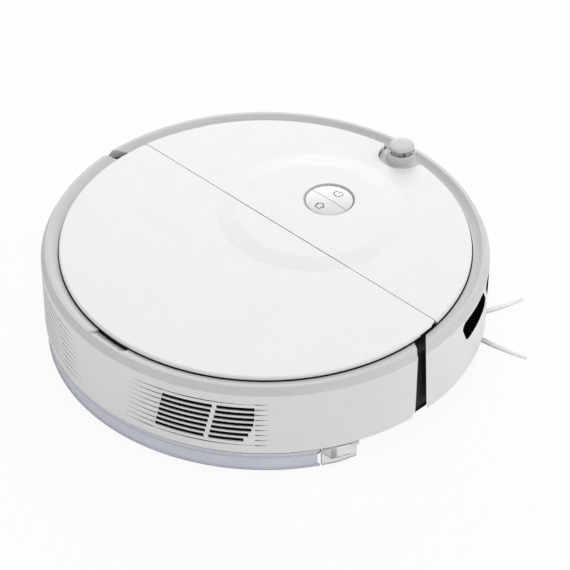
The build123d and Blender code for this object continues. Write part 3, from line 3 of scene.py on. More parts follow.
import bmesh
import bpy
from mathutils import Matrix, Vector


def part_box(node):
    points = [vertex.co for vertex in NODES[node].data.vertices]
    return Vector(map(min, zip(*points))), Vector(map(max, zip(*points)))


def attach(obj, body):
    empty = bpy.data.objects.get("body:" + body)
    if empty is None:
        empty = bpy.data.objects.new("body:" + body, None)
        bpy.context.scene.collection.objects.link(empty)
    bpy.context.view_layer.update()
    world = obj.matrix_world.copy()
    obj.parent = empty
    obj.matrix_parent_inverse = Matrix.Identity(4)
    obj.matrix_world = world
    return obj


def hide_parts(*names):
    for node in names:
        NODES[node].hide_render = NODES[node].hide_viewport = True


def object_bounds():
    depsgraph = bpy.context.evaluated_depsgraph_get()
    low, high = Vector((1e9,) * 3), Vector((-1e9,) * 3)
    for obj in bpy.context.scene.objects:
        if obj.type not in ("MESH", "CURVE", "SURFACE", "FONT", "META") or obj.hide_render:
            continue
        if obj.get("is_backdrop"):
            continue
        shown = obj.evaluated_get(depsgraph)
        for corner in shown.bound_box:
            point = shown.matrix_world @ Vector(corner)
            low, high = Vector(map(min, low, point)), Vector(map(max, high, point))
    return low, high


# Robot vacuum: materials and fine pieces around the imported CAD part.  Metres, +Z up, +Y to the bumper,
# +X to the right as the machine drives.

MM = 0.001
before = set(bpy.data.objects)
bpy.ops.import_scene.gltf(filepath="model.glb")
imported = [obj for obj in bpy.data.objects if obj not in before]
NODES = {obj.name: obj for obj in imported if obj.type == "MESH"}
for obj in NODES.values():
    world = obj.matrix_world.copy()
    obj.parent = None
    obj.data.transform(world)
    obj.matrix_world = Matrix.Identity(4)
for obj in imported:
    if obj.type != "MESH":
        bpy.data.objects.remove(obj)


def plain_box(bounds):
    return [[float(value) for value in corner] for corner in bounds]


cad_bounds = plain_box(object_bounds())


# ---------------------------------------------------------------- node helpers
DRIFT_SCALE = 18.0             # noise scales, per metre: slow colour drift
GLOSS_SCALE = 60.0             # uneven gloss


def new_material(name):
    material = bpy.data.materials.new(name)
    material.use_nodes = True
    tree = material.node_tree
    return material, tree, tree.nodes["Principled BSDF"]


def add_node(tree, kind, **values):
    node = tree.nodes.new(kind)
    for key, value in values.items():
        setattr(node, key, value)
    return node


def object_coordinates(tree):
    return add_node(tree, "ShaderNodeTexCoord").outputs["Object"]


def noise(tree, scale, detail=2.0, roughness=0.5):
    node = add_node(tree, "ShaderNodeTexNoise")
    node.inputs["Scale"].default_value = scale
    node.inputs["Detail"].default_value = detail
    node.inputs["Roughness"].default_value = roughness
    tree.links.new(object_coordinates(tree), node.inputs["Vector"])
    return node.outputs["Fac"]


def spread(tree, value, low, high):
    """Maps a 0..1 texture value to low..high."""
    node = add_node(tree, "ShaderNodeMapRange")
    node.inputs["From Min"].default_value = 0.3
    node.inputs["From Max"].default_value = 0.7
    node.inputs["To Min"].default_value = low
    node.inputs["To Max"].default_value = high
    tree.links.new(value, node.inputs["Value"])
    return node.outputs["Result"]


def blend_colours(tree, value, first, second):
    node = add_node(tree, "ShaderNodeMix", data_type="RGBA")
    node.inputs["A"].default_value = (*first, 1.0)
    node.inputs["B"].default_value = (*second, 1.0)
    tree.links.new(value, node.inputs["Factor"])
    return node.outputs["Result"]


def bump(tree, shader, height, strength, distance):
    node = add_node(tree, "ShaderNodeBump")
    node.inputs["Strength"].default_value = strength
    node.inputs["Distance"].default_value = distance
    tree.links.new(height, node.inputs["Height"])
    tree.links.new(node.outputs["Normal"], shader.inputs["Normal"])


def shade(colour, factor):
    return tuple(min(1.0, channel * factor) for channel in colour)


def moulded(name, colour, roughness, grain=2600.0, grain_depth=0.004, strength=0.12, drift=0.02,
            specular=0.5):
    """Moulded plastic: faint colour drift, uneven gloss and a fine spark-eroded grain."""
    material, tree, shader = new_material(name)
    drift_value = spread(tree, noise(tree, DRIFT_SCALE, 3.0), 0.0, 1.0)
    tint = blend_colours(tree, drift_value, shade(colour, 1.0 - drift), shade(colour, 1.0 + drift))
    tree.links.new(tint, shader.inputs["Base Color"])
    gloss = spread(tree, noise(tree, GLOSS_SCALE, 4.0), roughness * 0.92, roughness * 1.08)
    tree.links.new(gloss, shader.inputs["Roughness"])
    bump(tree, shader, noise(tree, grain, 1.0), strength, grain_depth * MM)
    shader.inputs["Specular IOR Level"].default_value = specular
    return material


def maths(tree, operation, first, second):
    """One Math node; first and second are sockets or plain floats."""
    node = add_node(tree, "ShaderNodeMath", operation=operation)
    for socket, value in zip(node.inputs, (first, second)):
        if isinstance(value, float):
            socket.default_value = value
        else:
            tree.links.new(value, socket)
    return node.outputs[0]


def step(tree, value, low, high):
    """0 below low, 1 above high; with high under low it falls instead."""
    node = add_node(tree, "ShaderNodeMapRange")
    node.inputs["From Min"].default_value = min(low, high)
    node.inputs["From Max"].default_value = max(low, high)
    node.inputs["To Min"].default_value = 0.0 if low < high else 1.0
    node.inputs["To Max"].default_value = 1.0 if low < high else 0.0
    tree.links.new(value, node.inputs["Value"])
    return node.outputs["Result"]


def both(tree, *values):
    """1 only where every value is 1."""
    result = values[0]
    for value in values[1:]:
        result = maths(tree, "MULTIPLY", result, value)
    return result


def mixed(tree, amount, first, second):
    """Mixes two colour sockets."""
    node = add_node(tree, "ShaderNodeMix", data_type="RGBA")
    tree.links.new(amount, node.inputs["Factor"])
    tree.links.new(first, node.inputs["A"])
    tree.links.new(second, node.inputs["B"])
    return node.outputs["Result"]


def between(tree, value, low, high):
    """1 between two limits, 0 outside."""
    return both(tree, step(tree, value, low, low + LINE_BLUR), step(tree, value, high, high - LINE_BLUR))


def height_span(node):
    low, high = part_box(node)
    return low[2], high[2]


BODY_RADIUS = cad_bounds[1][1]
RIM_TALL = 6.2 * MM            # height of the sloping rim
RIM_FROM_Z = height_span("rear_shell")[1] - RIM_TALL
RIM_DULLER = 0.25              # added to the roughness of the rim
SLOT_PITCH = 5.05 * MM         # of the grille's rows, which also carry the fine lines
SLOT_TALL = 6 * SLOT_PITCH
SLOT_TOP_Z = (sum(height_span("vent_mesh")) + SLOT_TALL) / 2       # middle of the top row
SLOT_SLANT = 2.2               # degrees that the slots' rear ends lean over the grille's height
SLOTS_FROM, SLOTS_TO = 47.8, 71.1      # degrees behind the side, on the right only
LINES_MID, LINES_HALF = 62.5, 18.5     # middle and half length of the fine lines, in degrees
LINE_HALF_WIDTH = 0.5 * MM
LINE_BLUR = 0.1 * MM
LINE_FLOOR = 1.4 * MM          # deeper than this the plastic gets no painted line shade
SLOT_SHADE_FROM, SLOT_SHADE_TO = 0.9 * MM, 3.0 * MM      # depths at which shade is painted in the slots
SIDE_BLUR = 1.0 * MM           # width of the change from one side of the body to the other


def shell_plastic(name, colour, rim_shade_colour, line_shade_colour, roughness):
    """The body's plastic: a rougher sloping rim with painted shade in its greyer colour, and painted shade
    in the fine lines and deep in the slots.
    """
    material = moulded(name, colour, roughness)
    tree = material.node_tree
    shader = tree.nodes["Principled BSDF"]
    wall_tint = shader.inputs["Base Color"].links[0].from_socket
    wall_gloss = shader.inputs["Roughness"].links[0].from_socket
    drift_value = spread(tree, noise(tree, DRIFT_SCALE, 3.0), 0.0, 1.0)
    # painted shade: the sloping rim gets a greyer colour than the wall, standing in for the shade that falls
    # on it
    rim_shade_tint = blend_colours(tree, drift_value, shade(rim_shade_colour, 0.98), shade(rim_shade_colour, 1.02))
    # painted shade: a near-black colour for the fine grooves and for the walls deep in the grille's slots
    line_shade_tint = blend_colours(tree, drift_value, shade(line_shade_colour, 0.8), shade(line_shade_colour, 1.2))
    axes = add_node(tree, "ShaderNodeSeparateXYZ")
    tree.links.new(object_coordinates(tree), axes.inputs[0])
    x, y, z = axes.outputs
    squares = maths(tree, "ADD", maths(tree, "MULTIPLY", x, x), maths(tree, "MULTIPLY", y, y))
    depth = maths(tree, "SUBTRACT", BODY_RADIUS, maths(tree, "SQRT", squares, 0.0))
    across = maths(tree, "ABSOLUTE", x, 0.0)
    behind = maths(tree, "ARCTAN2", maths(tree, "MULTIPLY", y, -1.0), across)
    below = maths(tree, "SUBTRACT", SLOT_TOP_Z, z)
    slant = maths(tree, "MULTIPLY", below, radians(SLOT_SLANT) / SLOT_TALL)
    leaned = maths(tree, "SUBTRACT", behind, slant)
    off_row = maths(tree, "PINGPONG", below, SLOT_PITCH / 2)
    off_middle = maths(tree, "ABSOLUTE", maths(tree, "SUBTRACT", behind, radians(LINES_MID)), 0.0)
    on_left = step(tree, x, SIDE_BLUR, 0.0)
    end_rows = maths(tree, "MAXIMUM", step(tree, below, -0.45 * SLOT_PITCH, -0.55 * SLOT_PITCH),
                     step(tree, below, SLOT_TALL + 0.45 * SLOT_PITCH, SLOT_TALL + 0.55 * SLOT_PITCH))
    whole_line = maths(tree, "MULTIPLY", step(tree, off_middle, radians(LINES_HALF), 0.0),
                       maths(tree, "MAXIMUM", on_left, end_rows))
    rear_line = both(tree, step(tree, leaned, radians(LINES_MID + LINES_HALF), radians(SLOTS_TO)),
                     step(tree, leaned, radians(SLOTS_TO + 0.1), radians(SLOTS_TO + 0.3)))
    front_line = both(tree, step(tree, behind, radians(LINES_MID - LINES_HALF), radians(SLOTS_FROM)),
                      step(tree, behind, radians(SLOTS_FROM), radians(SLOTS_FROM - 0.2)))
    width = maths(tree, "MAXIMUM", whole_line, maths(tree, "MAXIMUM", rear_line, front_line))
    margin = maths(tree, "SUBTRACT", maths(tree, "MULTIPLY", width, LINE_HALF_WIDTH), off_row)
    in_rows = between(tree, below, -1.3 * SLOT_PITCH, SLOT_TALL + 1.3 * SLOT_PITCH)
    line_shade = both(tree, step(tree, margin, -LINE_BLUR / 2, LINE_BLUR / 2), step(tree, width, 0.05, 0.15),
                   in_rows, step(tree, depth, LINE_FLOOR + LINE_BLUR, LINE_FLOOR))
    slot_shade = both(tree, between(tree, depth, SLOT_SHADE_FROM, SLOT_SHADE_TO), step(tree, x, 0.0, SIDE_BLUR),
                   between(tree, below, -0.5 * SLOT_PITCH, SLOT_TALL + 0.5 * SLOT_PITCH),
                   step(tree, behind, radians(SLOTS_FROM - 0.2), radians(SLOTS_FROM)),
                   step(tree, leaned, radians(SLOTS_TO + 0.2), radians(SLOTS_TO)))
    rim = step(tree, z, RIM_FROM_Z - 0.1 * MM, RIM_FROM_Z + 0.2 * MM)
    rim_shaded_tint = mixed(tree, rim, wall_tint, rim_shade_tint)
    # painted shade in the fine grooves and deep in the slots
    dark = maths(tree, "MAXIMUM", line_shade, slot_shade)
    tree.links.new(mixed(tree, dark, rim_shaded_tint, line_shade_tint), shader.inputs["Base Color"])
    rim_gloss = maths(tree, "ADD", wall_gloss, maths(tree, "MULTIPLY", rim, RIM_DULLER))
    tree.links.new(rim_gloss, shader.inputs["Roughness"])
    return material


def clear_plastic(name, colour, roughness, transmission, ior=1.49, drift=0.03):
    material, tree, shader = new_material(name)
    cloud = spread(tree, noise(tree, 30.0, 2.0), 0.0, 1.0)
    tint = blend_colours(tree, cloud, shade(colour, 1.0 - drift), shade(colour, 1.0 + drift))
    tree.links.new(tint, shader.inputs["Base Color"])
    haze = spread(tree, noise(tree, 90.0, 3.0), roughness * 0.85, roughness * 1.15)
    tree.links.new(haze, shader.inputs["Roughness"])
    shader.inputs["Transmission Weight"].default_value = transmission
    shader.inputs["IOR"].default_value = ior
    return material


def shade_banded_plastic(material):
    """Frosted moulding with painted shade along its bottom edge and in one band under its lip."""
    tree = material.node_tree
    shader = tree.nodes["Principled BSDF"]
    tint = shader.inputs["Base Color"].links[0].from_socket
    axes = add_node(tree, "ShaderNodeSeparateXYZ")
    tree.links.new(object_coordinates(tree), axes.inputs[0])
    height = axes.outputs[2]
    low, high = height_span("mop_tank")
    # painted shade along the bottom edge and under the lip
    edge = step(tree, height, low + 1.4 * MM, low + 0.5 * MM)
    lip_band_shade = between(tree, height, high - 5.5 * MM, high - 3.0 * MM)
    shadow = maths(tree, "MAXIMUM", maths(tree, "MULTIPLY", edge, 0.8), maths(tree, "MULTIPLY", lip_band_shade, 0.3))
    shade_tint = blend_colours(tree, shadow, (1.0, 1.0, 1.0), (0.42, 0.43, 0.5))
    blend = add_node(tree, "ShaderNodeMix", data_type="RGBA", blend_type="MULTIPLY")
    blend.inputs["Factor"].default_value = 1.0
    tree.links.new(tint, blend.inputs["A"])
    tree.links.new(shade_tint, blend.inputs["B"])
    tree.links.new(blend.outputs["Result"], shader.inputs["Base Color"])
    return material


def glint_patched_core(name, dark, bright):
    """Dark optics behind the turret's window, with bright patches painted in as reflections."""
    material, tree, shader = new_material(name)
    cells = add_node(tree, "ShaderNodeTexVoronoi")
    cells.inputs["Scale"].default_value = 260.0
    tree.links.new(object_coordinates(tree), cells.inputs["Vector"])
    glint_patch = step(tree, cells.outputs["Distance"], 0.42, 0.5)
    tree.links.new(blend_colours(tree, glint_patch, dark, bright), shader.inputs["Base Color"])
    tree.links.new(spread(tree, noise(tree, 200.0), 0.1, 0.25), shader.inputs["Roughness"])
    return material


def brushed_metal(name, colour, roughness, across=(1.0, 60.0, 60.0)):
    material, tree, shader = new_material(name)
    mapping = add_node(tree, "ShaderNodeMapping")
    mapping.inputs["Scale"].default_value = across
    tree.links.new(object_coordinates(tree), mapping.inputs["Vector"])
    lines = add_node(tree, "ShaderNodeTexNoise")
    lines.inputs["Scale"].default_value = 120.0
    lines.inputs["Detail"].default_value = 3.0
    tree.links.new(mapping.outputs["Vector"], lines.inputs["Vector"])
    fibre = spread(tree, lines.outputs["Fac"], 0.0, 1.0)
    tint = blend_colours(tree, fibre, shade(colour, 0.9), shade(colour, 1.06))
    tree.links.new(tint, shader.inputs["Base Color"])
    gloss = spread(tree, lines.outputs["Fac"], roughness * 0.8, roughness * 1.3)
    tree.links.new(gloss, shader.inputs["Roughness"])
    shader.inputs["Metallic"].default_value = 1.0
    return material


def rubber(name, colour, roughness=0.62):
    return moulded(name, colour, roughness, grain=1400.0, grain_depth=0.02, strength=0.3, drift=0.08)


def microfibre(name, colour):
    """Looped cloth: rows of loops as height, two close shades and sheen."""
    material, tree, shader = new_material(name)
    loops = add_node(tree, "ShaderNodeTexVoronoi")
    loops.inputs["Scale"].default_value = 700.0
    tree.links.new(object_coordinates(tree), loops.inputs["Vector"])
    tint = blend_colours(tree, loops.outputs["Distance"], shade(colour, 1.15), shade(colour, 0.7))
    tree.links.new(tint, shader.inputs["Base Color"])
    bump(tree, shader, loops.outputs["Distance"], 0.8, 0.5 * MM)
    shader.inputs["Roughness"].default_value = 0.95
    shader.inputs["Sheen Weight"].default_value = 0.5
    return material


def foam(name, colour):
    material, tree, shader = new_material(name)
    cells = add_node(tree, "ShaderNodeTexVoronoi")
    cells.inputs["Scale"].default_value = 900.0
    tree.links.new(object_coordinates(tree), cells.inputs["Vector"])
    tint = blend_colours(tree, cells.outputs["Distance"], shade(colour, 0.3), shade(colour, 1.3))
    tree.links.new(tint, shader.inputs["Base Color"])
    bump(tree, shader, cells.outputs["Distance"], 0.7, 0.4 * MM)
    shader.inputs["Roughness"].default_value = 0.9
    shader.inputs["Specular IOR Level"].default_value = 0.1
    return material


def pleated_paper(name, colour):
    material, tree, shader = new_material(name)
    fibre = noise(tree, 1500.0, 6.0, 0.7)
    tree.links.new(blend_colours(tree, fibre, shade(colour, 0.85), colour), shader.inputs["Base Color"])
    bump(tree, shader, fibre, 0.4, 0.1 * MM)
    shader.inputs["Roughness"].default_value = 0.9
    return material


def circuit_board(name, colour):
    """Solder mask with darker tracks."""
    material, tree, shader = new_material(name)
    tracks = add_node(tree, "ShaderNodeTexBrick")
    tracks.inputs["Scale"].default_value = 260.0
    tracks.inputs["Color1"].default_value = (*shade(colour, 1.2), 1.0)
    tracks.inputs["Color2"].default_value = (*colour, 1.0)
    tracks.inputs["Mortar"].default_value = (*shade(colour, 0.5), 1.0)
    tree.links.new(object_coordinates(tree), tracks.inputs["Vector"])
    tree.links.new(tracks.outputs["Color"], shader.inputs["Base Color"])
    tree.links.new(spread(tree, noise(tree, 80.0), 0.3, 0.42), shader.inputs["Roughness"])
    return material


# ---------------------------------------------------------------- materials of the CAD nodes
WHITE = (0.86, 0.86, 0.865)
COVER_WHITE = (0.93, 0.93, 0.93)
# painted shade: colour of the sloping rim, darker than WHITE for the shade on its slope
RIM_SHADE_GREY = (0.68, 0.68, 0.685)
# painted shade: colour of the fine grooves and of the slots' walls
LINE_SHADE_BLACK = (0.03, 0.03, 0.03)
shell_white = shell_plastic("shell_white", WHITE, RIM_SHADE_GREY, LINE_SHADE_BLACK, 0.34)
cap_white = moulded("cap_white", (0.62, 0.62, 0.625), 0.4, specular=0.3)
cover_white = moulded("cover_white", COVER_WHITE, 0.5, strength=0.06, drift=0.006, specular=0.35)
button_white = moulded("button_white", (0.80, 0.80, 0.81), 0.3, strength=0.06, drift=0.01)
bezel_grey = moulded("bezel_grey", (0.52, 0.52, 0.53), 0.28)
COARSE = {"grain": 1800.0, "grain_depth": 0.02, "strength": 0.25}
black_matt = moulded("black_matt", (0.018, 0.018, 0.02), 0.5, drift=0.15, **COARSE)
black_gloss = moulded("black_gloss", (0.002, 0.002, 0.0022), 0.12, strength=0.02, drift=0.1, specular=0.0)
grey_matt = moulded("grey_matt", (0.16, 0.16, 0.168), 0.5, drift=0.06, **COARSE)
# painted reflection: the core's bright patches stand in for glints in the turret's band
core_dark = glint_patched_core("core_dark", (0.02, 0.02, 0.022), (0.75, 0.75, 0.77))
lens_clear = clear_plastic("lens_clear", (0.93, 0.94, 0.96), 0.04, 0.92)
bin_smoke = clear_plastic("bin_smoke", (0.45, 0.46, 0.5), 0.12, 0.75)
clip_clear = clear_plastic("clip_clear", (0.98, 0.985, 1.0), 0.1, 0.65)
tank_frost = shade_banded_plastic(clear_plastic("tank_frost", (0.88, 0.905, 1.0), 0.24, 0.22, ior=1.4))
tyre_rubber = rubber("tyre_rubber", (0.03, 0.03, 0.032))
blade_rubber = rubber("blade_rubber", (0.55, 0.09, 0.05), 0.5)
arm_silicone = rubber("arm_silicone", (0.88, 0.88, 0.86), 0.45)
pin_steel = brushed_metal("pin_steel", (0.62, 0.62, 0.63), 0.3)
contact_plate = brushed_metal("contact_plate", (0.82, 0.76, 0.62), 0.22, across=(40.0, 1.0, 40.0))
board_mask = circuit_board("board_mask", (0.03, 0.14, 0.06))
filter_paper = pleated_paper("filter_paper", (0.82, 0.82, 0.78))
vent_foam = foam("vent_foam", (0.004, 0.004, 0.004))
cell_sleeve = moulded("cell_sleeve", (0.03, 0.10, 0.30), 0.3, strength=0.1, drift=0.05)
cloth_grey = microfibre("cloth_grey", (0.34, 0.38, 0.45))

FINISH = {
    shell_white: ["rear_shell", "bumper_shell", "drive_wheel_right", "drive_wheel_left"],
    cap_white: ["turret_cap"],
    cover_white: ["front_cover", "rear_lid"],
    button_white: ["power_button", "home_button"],
    bezel_grey: ["button_bezel"],
    black_matt: ["chassis_pan_front", "chassis_pan_rear", "tank_recess", "chassis_wall", "wheel_housings",
                 "brush_housing", "caster_housing", "caster_plate", "top_deck", "bump_switches",
                 "caster_fork", "caster_wheel", "fan_motor", "speaker"],
    core_dark: ["turret_core"],
    black_gloss: ["side_window_right", "side_window_left", "front_window", "cliff_sensors"],
    grey_matt: ["brush_guard", "brush_bearings", "brush_gearboxes", "wheel_arm_right", "wheel_arm_left",
                "dustbin_lid", "filter_frame", "fan_housing", "fan_impeller", "brush_core", "side_brush_hub",
                "tank_plug"],
    lens_clear: ["turret_lens"],
    bin_smoke: ["dustbin"],
    clip_clear: ["tank_clip_right", "tank_clip_left"],
    tank_frost: ["mop_tank"],
    tyre_rubber: ["drive_tyre_right", "drive_tyre_left"],
    blade_rubber: ["brush_blades"],
    arm_silicone: ["side_brush_arms"],
    pin_steel: ["arm_pivots", "caster_axle", "lid_hinge_pins"],
    contact_plate: ["charging_contacts"],
    board_mask: ["main_board"],
    filter_paper: ["filter_pleats"],
    vent_foam: ["vent_mesh"],
    cell_sleeve: ["battery_pack"],
}
for material, names in FINISH.items():
    for name in names:
        mesh = NODES[name].data
        mesh.materials.clear()
        mesh.materials.append(material)


# ---------------------------------------------------------------- new pieces
def weld(piece, distance):
    """Joins points that lie together and turns every face outwards."""
    clean = bmesh.new()
    clean.from_mesh(piece.data)
    bmesh.ops.remove_doubles(clean, verts=clean.verts, dist=distance)
    bmesh.ops.recalc_face_normals(clean, faces=clean.faces)
    clean.to_mesh(piece.data)
    clean.free()


def mesh_piece(name, vertices, faces, material, smooth=True):
    mesh = bpy.data.meshes.new(name)
    mesh.from_pydata([tuple(v) for v in vertices], [], faces)
    mesh.validate()
    mesh.materials.append(material)
    for polygon in mesh.polygons:
        polygon.use_smooth = smooth
    piece = bpy.data.objects.new(name, mesh)
    bpy.context.scene.collection.objects.link(piece)
    return piece


def tube_piece(name, paths, radius, material, flatten=1.0, sides=8):
    """Round wire along each closed or open path, for printed or inlaid symbols; flatten squashes it in Z."""
    vertices, faces = [], []
    for path, closed in paths:
        count = len(path)
        start = len(vertices)
        for i, point in enumerate(path):
            before = path[(i - 1) % count] if closed or i else point
            after = path[(i + 1) % count] if closed or i < count - 1 else point
            along = (after - before).normalized()
            across = Vector((-along.y, along.x, 0)).normalized()
            for k in range(sides):
                a = 2 * pi * k / sides
                vertices.append(point + across * radius * cos(a) + Vector((0, 0, radius * flatten * sin(a))))
        for i in range(count if closed else count - 1):
            j = (i + 1) % count
            for k in range(sides):
                m = (k + 1) % sides
                here, there = start + i * sides, start + j * sides
                faces.append((here + k, there + k, there + m, here + m))
        if not closed:
            faces.append(tuple(start + k for k in range(sides)))
            faces.append(tuple(start + (count - 1) * sides + k for k in reversed(range(sides))))
    return mesh_piece(name, vertices, faces, material)


def arc_points(centre, radius, start, end, steps):
    turns = [radians(start + (end - start) * k / steps) for k in range(steps + 1)]
    return [centre + Vector((radius * cos(turn), radius * sin(turn), 0)) for turn in turns]


symbol_ink = moulded("symbol_ink", (0.03, 0.03, 0.032), 0.4, drift=0.05)
CROWN = 0.9 * MM               # how far the buttons' face falls from middle to edge
SYMBOL_AT = 10.6 * MM          # from the buttons' middle
SYMBOL_LINE = 0.42 * MM
POWER_SIZE, HOME_SIZE = 3.6 * MM, 3.3 * MM
RING_GAP = 36                  # half of the power ring's opening, in degrees
SYMBOL_FLAT = 0.35             # height of the symbols' line against its width


def button_symbols():
    """Power and home symbols, laid on the two crowned half-buttons."""
    home_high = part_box("home_button")[1]
    power_low, power_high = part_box("power_button")
    middle = Vector((0, (home_high[1] + power_low[1]) / 2, power_high[2]))
    button_r = power_high[0]

    def on_crown(points):
        for point in points:
            out = (point.x - middle.x) ** 2 + (point.y - middle.y) ** 2
            point.z = middle.z - CROWN * out / button_r ** 2
        return points

    size = POWER_SIZE
    power = middle + Vector((0, SYMBOL_AT, 0))
    ring = arc_points(power, size, 90 + RING_GAP, 90 + 360 - RING_GAP, 30)
    bar = [power + Vector((0, size * (0.15 + 1.0 * t / 6), 0)) for t in range(7)]
    lines = [(on_crown(ring), False), (on_crown(bar), False)]
    power_symbol = tube_piece("power_symbol", lines, SYMBOL_LINE, symbol_ink, flatten=SYMBOL_FLAT)
    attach(power_symbol, "power_key")
    home = middle - Vector((0, SYMBOL_AT, 0))
    size = HOME_SIZE
    corners = ((-0.75, -0.95), (-0.75, 0.0), (-1.2, 0.0), (0, 1.05), (1.2, 0.0), (0.75, 0.0), (0.75, -0.95))
    outline = []
    for (x0, y0), (x1, y1) in zip(corners, corners[1:] + corners[:1]):
        outline += [home + Vector((x0 + (x1 - x0) * t / 4, y0 + (y1 - y0) * t / 4, 0)) * size
                    for t in range(4)]
    lines = [(on_crown(outline), True)]
    home_symbol = tube_piece("home_symbol", lines, SYMBOL_LINE, symbol_ink, flatten=SYMBOL_FLAT)
    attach(home_symbol, "home_key")


def mop_cloth():
    """Looped pad with a bound edge; its outline is a slice of the round body with a straight front."""
    low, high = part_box("mop_cloth")
    radius = -low[1]
    half_width, front = high[0], high[1]
    centre = Vector((0, 0.55 * low[1] + 0.45 * front, 0))
    spokes, rings = 300, 26

    def edge_distance(direction):
        """How far the outline lies from the centre along a direction."""
        b = centre.dot(direction)
        reach = -b + sqrt(b * b - centre.length_squared + radius * radius)
        if direction.y > 1e-6:
            reach = min(reach, (front - centre.y) / direction.y)
        if abs(direction.x) > 1e-6:
            reach = min(reach, half_width / abs(direction.x))
        return reach

    turns = [2 * pi * k / spokes for k in range(spokes)]
    reaches = [edge_distance(Vector((cos(turn), sin(turn), 0))) for turn in turns]
    for _ in range(6):
        reaches = [min(reaches[k], (reaches[k - 1] + reaches[k] + reaches[(k + 1) % spokes]) / 3)
                   for k in range(spokes)]
    thick = high[2] - low[2]
    vertices, faces = [], []
    for side in (0, 1):
        for ring in range(rings + 1):
            t = (ring / rings) ** 0.7
            inset = min(1.0, (1.0 - t) * 14)
            for k in range(spokes):
                a = 2 * pi * k / spokes
                x, y = centre.x + reaches[k] * t * cos(a), centre.y + reaches[k] * t * sin(a)
                wave = 0.00012 * sin(900 * x) * sin(900 * y) * inset
                bound = 1.0 if t > 0.975 else 0.82
                round_off = sqrt(max(0.0, 1 - (1 - inset) ** 2 * 0.9))
                lift = thick * (0.5 + (0.5 if side else -0.5) * bound * round_off)
                z = low[2] + min(thick, max(0.0, lift + wave))
                if not side and t < 0.9:
                    z = low[2] + 0.0001 + abs(wave)
                vertices.append((x, y, z))
    block = (rings + 1) * spokes
    for side in (0, 1):
        for ring in range(rings):
            for k in range(spokes):
                m = (k + 1) % spokes
                a, b = side * block + ring * spokes + k, side * block + ring * spokes + m
                c, d = b + spokes, a + spokes
                faces.append((a, b, c, d) if not side else (d, c, b, a))
    for k in range(spokes):
        m = (k + 1) % spokes
        a, b = rings * spokes + k, rings * spokes + m
        faces.append((a, b, b + block, a + block))
    cloth = mesh_piece("mop_pad", vertices, faces, cloth_grey)
    weld(cloth, 0.00001)
    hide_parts("mop_cloth")
    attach(cloth, "mop")


# places of the screws in body radii, the same on both sides
SCREW_SPOTS = ((0.137, 0.463), (0.343, -0.297), (0.297, 0.594), (0.783, -0.046))
SCREW_DEEP = 2.2 * MM          # depth of the screws' recesses in the underside


def chassis_screws():
    """Pan-head screws with a cross recess, sunk into the underside."""
    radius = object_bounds()[1][1]
    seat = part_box("chassis_pan_front")[0][2] + SCREW_DEEP
    head, tall, slot, deep = 2.7 * MM, 1.5 * MM, 0.42 * MM, 1.0 * MM
    spokes, rings = 48, 12
    vertices, faces = [], []
    for number, (x, y) in enumerate([(side * x, y) for x, y in SCREW_SPOTS for side in (-1, 1)]):
        start, turn = len(vertices), 0.9 * number
        for ring in range(rings + 1):
            t = ring / rings
            for k in range(spokes):
                a = 2 * pi * k / spokes
                u, v = head * t * cos(a), head * t * sin(a)
                drop = tall * sqrt(max(0.0, 1 - 0.35 * t * t)) if ring < rings else 0.0
                if min(abs(u), abs(v)) < slot and t < 0.62:
                    drop -= deep * (1 - t / 0.8)
                vertices.append((radius * x + u * cos(turn) - v * sin(turn),
                                 radius * y + u * sin(turn) + v * cos(turn), seat - drop))
        for ring in range(rings):
            for k in range(spokes):
                a, b = start + ring * spokes + k, start + ring * spokes + (k + 1) % spokes
                faces.append((a + spokes, b + spokes, b, a))
        faces.append([start + rings * spokes + k for k in reversed(range(spokes))])
    screws = mesh_piece("chassis_screws", vertices, faces, pin_steel)
    weld(screws, 0.000005)
    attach(screws, "chassis")


button_symbols()
chassis_screws()
mop_cloth()


# ---------------------------------------------------------------- floor, light, camera
def studio_floor():
    """White floor that keeps a faint shadow; camera and transmission rays see it nearly pure white."""
    bpy.ops.mesh.primitive_plane_add(size=30.0, location=(0, 0, 0))
    floor = bpy.context.object
    floor.name = "floor"
    material, tree, shader = new_material("floor_white")
    shader.inputs["Base Color"].default_value = (0.86, 0.86, 0.86, 1)
    shader.inputs["Roughness"].default_value = 0.9
    glow = add_node(tree, "ShaderNodeEmission")
    glow.inputs["Color"].default_value = (1, 1, 1, 1)
    glow.inputs["Strength"].default_value = 1.0
    mixer = add_node(tree, "ShaderNodeMixShader")
    path = add_node(tree, "ShaderNodeLightPath")
    seen = add_node(tree, "ShaderNodeMath", operation="MAXIMUM")
    tree.links.new(path.outputs["Is Camera Ray"], seen.inputs[0])
    tree.links.new(path.outputs["Is Transmission Ray"], seen.inputs[1])
    share = add_node(tree, "ShaderNodeMath", operation="MULTIPLY")
    share.inputs[1].default_value = FLOOR_SHARE
    tree.links.new(seen.outputs[0], share.inputs[0])
    tree.links.new(share.outputs[0], mixer.inputs["Fac"])
    tree.links.new(shader.outputs[0], mixer.inputs[1])
    tree.links.new(glow.outputs[0], mixer.inputs[2])
    tree.links.new(mixer.outputs[0], tree.nodes["Material Output"].inputs["Surface"])
    floor.data.materials.append(material)
    floor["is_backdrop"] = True


FLOOR_SHARE = 0.93             # part of the floor that camera rays see as pure white
WORLD_LEVEL = 0.40
LAMP_DISTANCE = 4.0
LAMP_SIZE = 2.2
LAMPS = (                      # name, azimuth and elevation in degrees, level
    ("far_key", 135, 25, 0.44),
    ("overhead", 0, 88, 0.12),
    ("far_right", 60, 35, 0.26),
    ("right_side", 15, 12, 0.16),
    ("near_side", -75, 10, 0.17),
    ("left_side", -115, 12, 0.06),
)


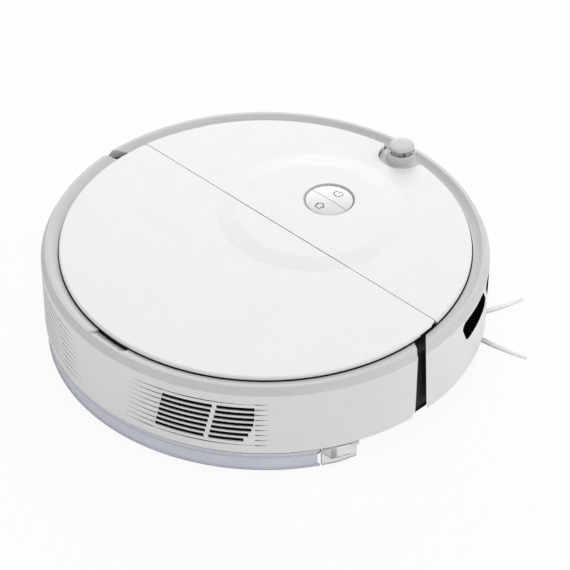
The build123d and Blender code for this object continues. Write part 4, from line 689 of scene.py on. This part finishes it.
def soft_light(name, azimuth, elevation, level):
    """Large round lamp; level is what a white face turned to it shows, 1 being white."""
    data = bpy.data.lights.new(name, "AREA")
    data.shape = "DISK"
    data.size = LAMP_SIZE
    data.energy = level * pi ** 2 * LAMP_DISTANCE ** 2
    turn, rise = radians(azimuth), radians(elevation)
    away = Vector((cos(turn) * cos(rise), sin(turn) * cos(rise), sin(rise)))
    lamp = bpy.data.objects.new(name, data)
    lamp.location = away * LAMP_DISTANCE
    lamp.rotation_euler = (-away).to_track_quat("-Z", "Y").to_euler()
    bpy.context.scene.collection.objects.link(lamp)


def white_world(strength):
    world = bpy.data.worlds.new("studio")
    bpy.context.scene.world = world
    world.use_nodes = True
    tree = world.node_tree
    background = tree.nodes["Background"]
    background.inputs["Color"].default_value = (1, 1, 1, 1)
    path = add_node(tree, "ShaderNodeLightPath")
    level = add_node(tree, "ShaderNodeMapRange")
    level.inputs["To Min"].default_value = strength
    level.inputs["To Max"].default_value = 1.0
    tree.links.new(path.outputs["Is Camera Ray"], level.inputs["Value"])
    tree.links.new(level.outputs["Result"], background.inputs["Strength"])


CAMERA_AZIMUTH, CAMERA_ELEVATION = 44.78, 39.49        # degrees from behind towards the right, and up
CAMERA_DISTANCE = 1.976
CAMERA_AIM_Z = 0.041


def photo_camera():
    azimuth, elevation = radians(CAMERA_AZIMUTH), radians(CAMERA_ELEVATION)
    aim = Vector((0, 0, CAMERA_AIM_Z))
    away = Vector((sin(azimuth) * cos(elevation), -cos(azimuth) * cos(elevation), sin(elevation)))
    data = bpy.data.cameras.new("camera")
    data.lens = 157.9
    data.sensor_width = 36.0
    data.shift_x = 0.0344
    data.shift_y = -0.0029
    camera = bpy.data.objects.new("camera", data)
    camera.location = aim + away * CAMERA_DISTANCE
    camera.rotation_euler = (-away).to_track_quat("-Z", "Y").to_euler()
    bpy.context.scene.collection.objects.link(camera)
    bpy.context.scene.camera = camera


studio_floor()
white_world(WORLD_LEVEL)
for lamp in LAMPS:
    soft_light(*lamp)
photo_camera()
bpy.context.scene.view_settings.view_transform = "Standard"
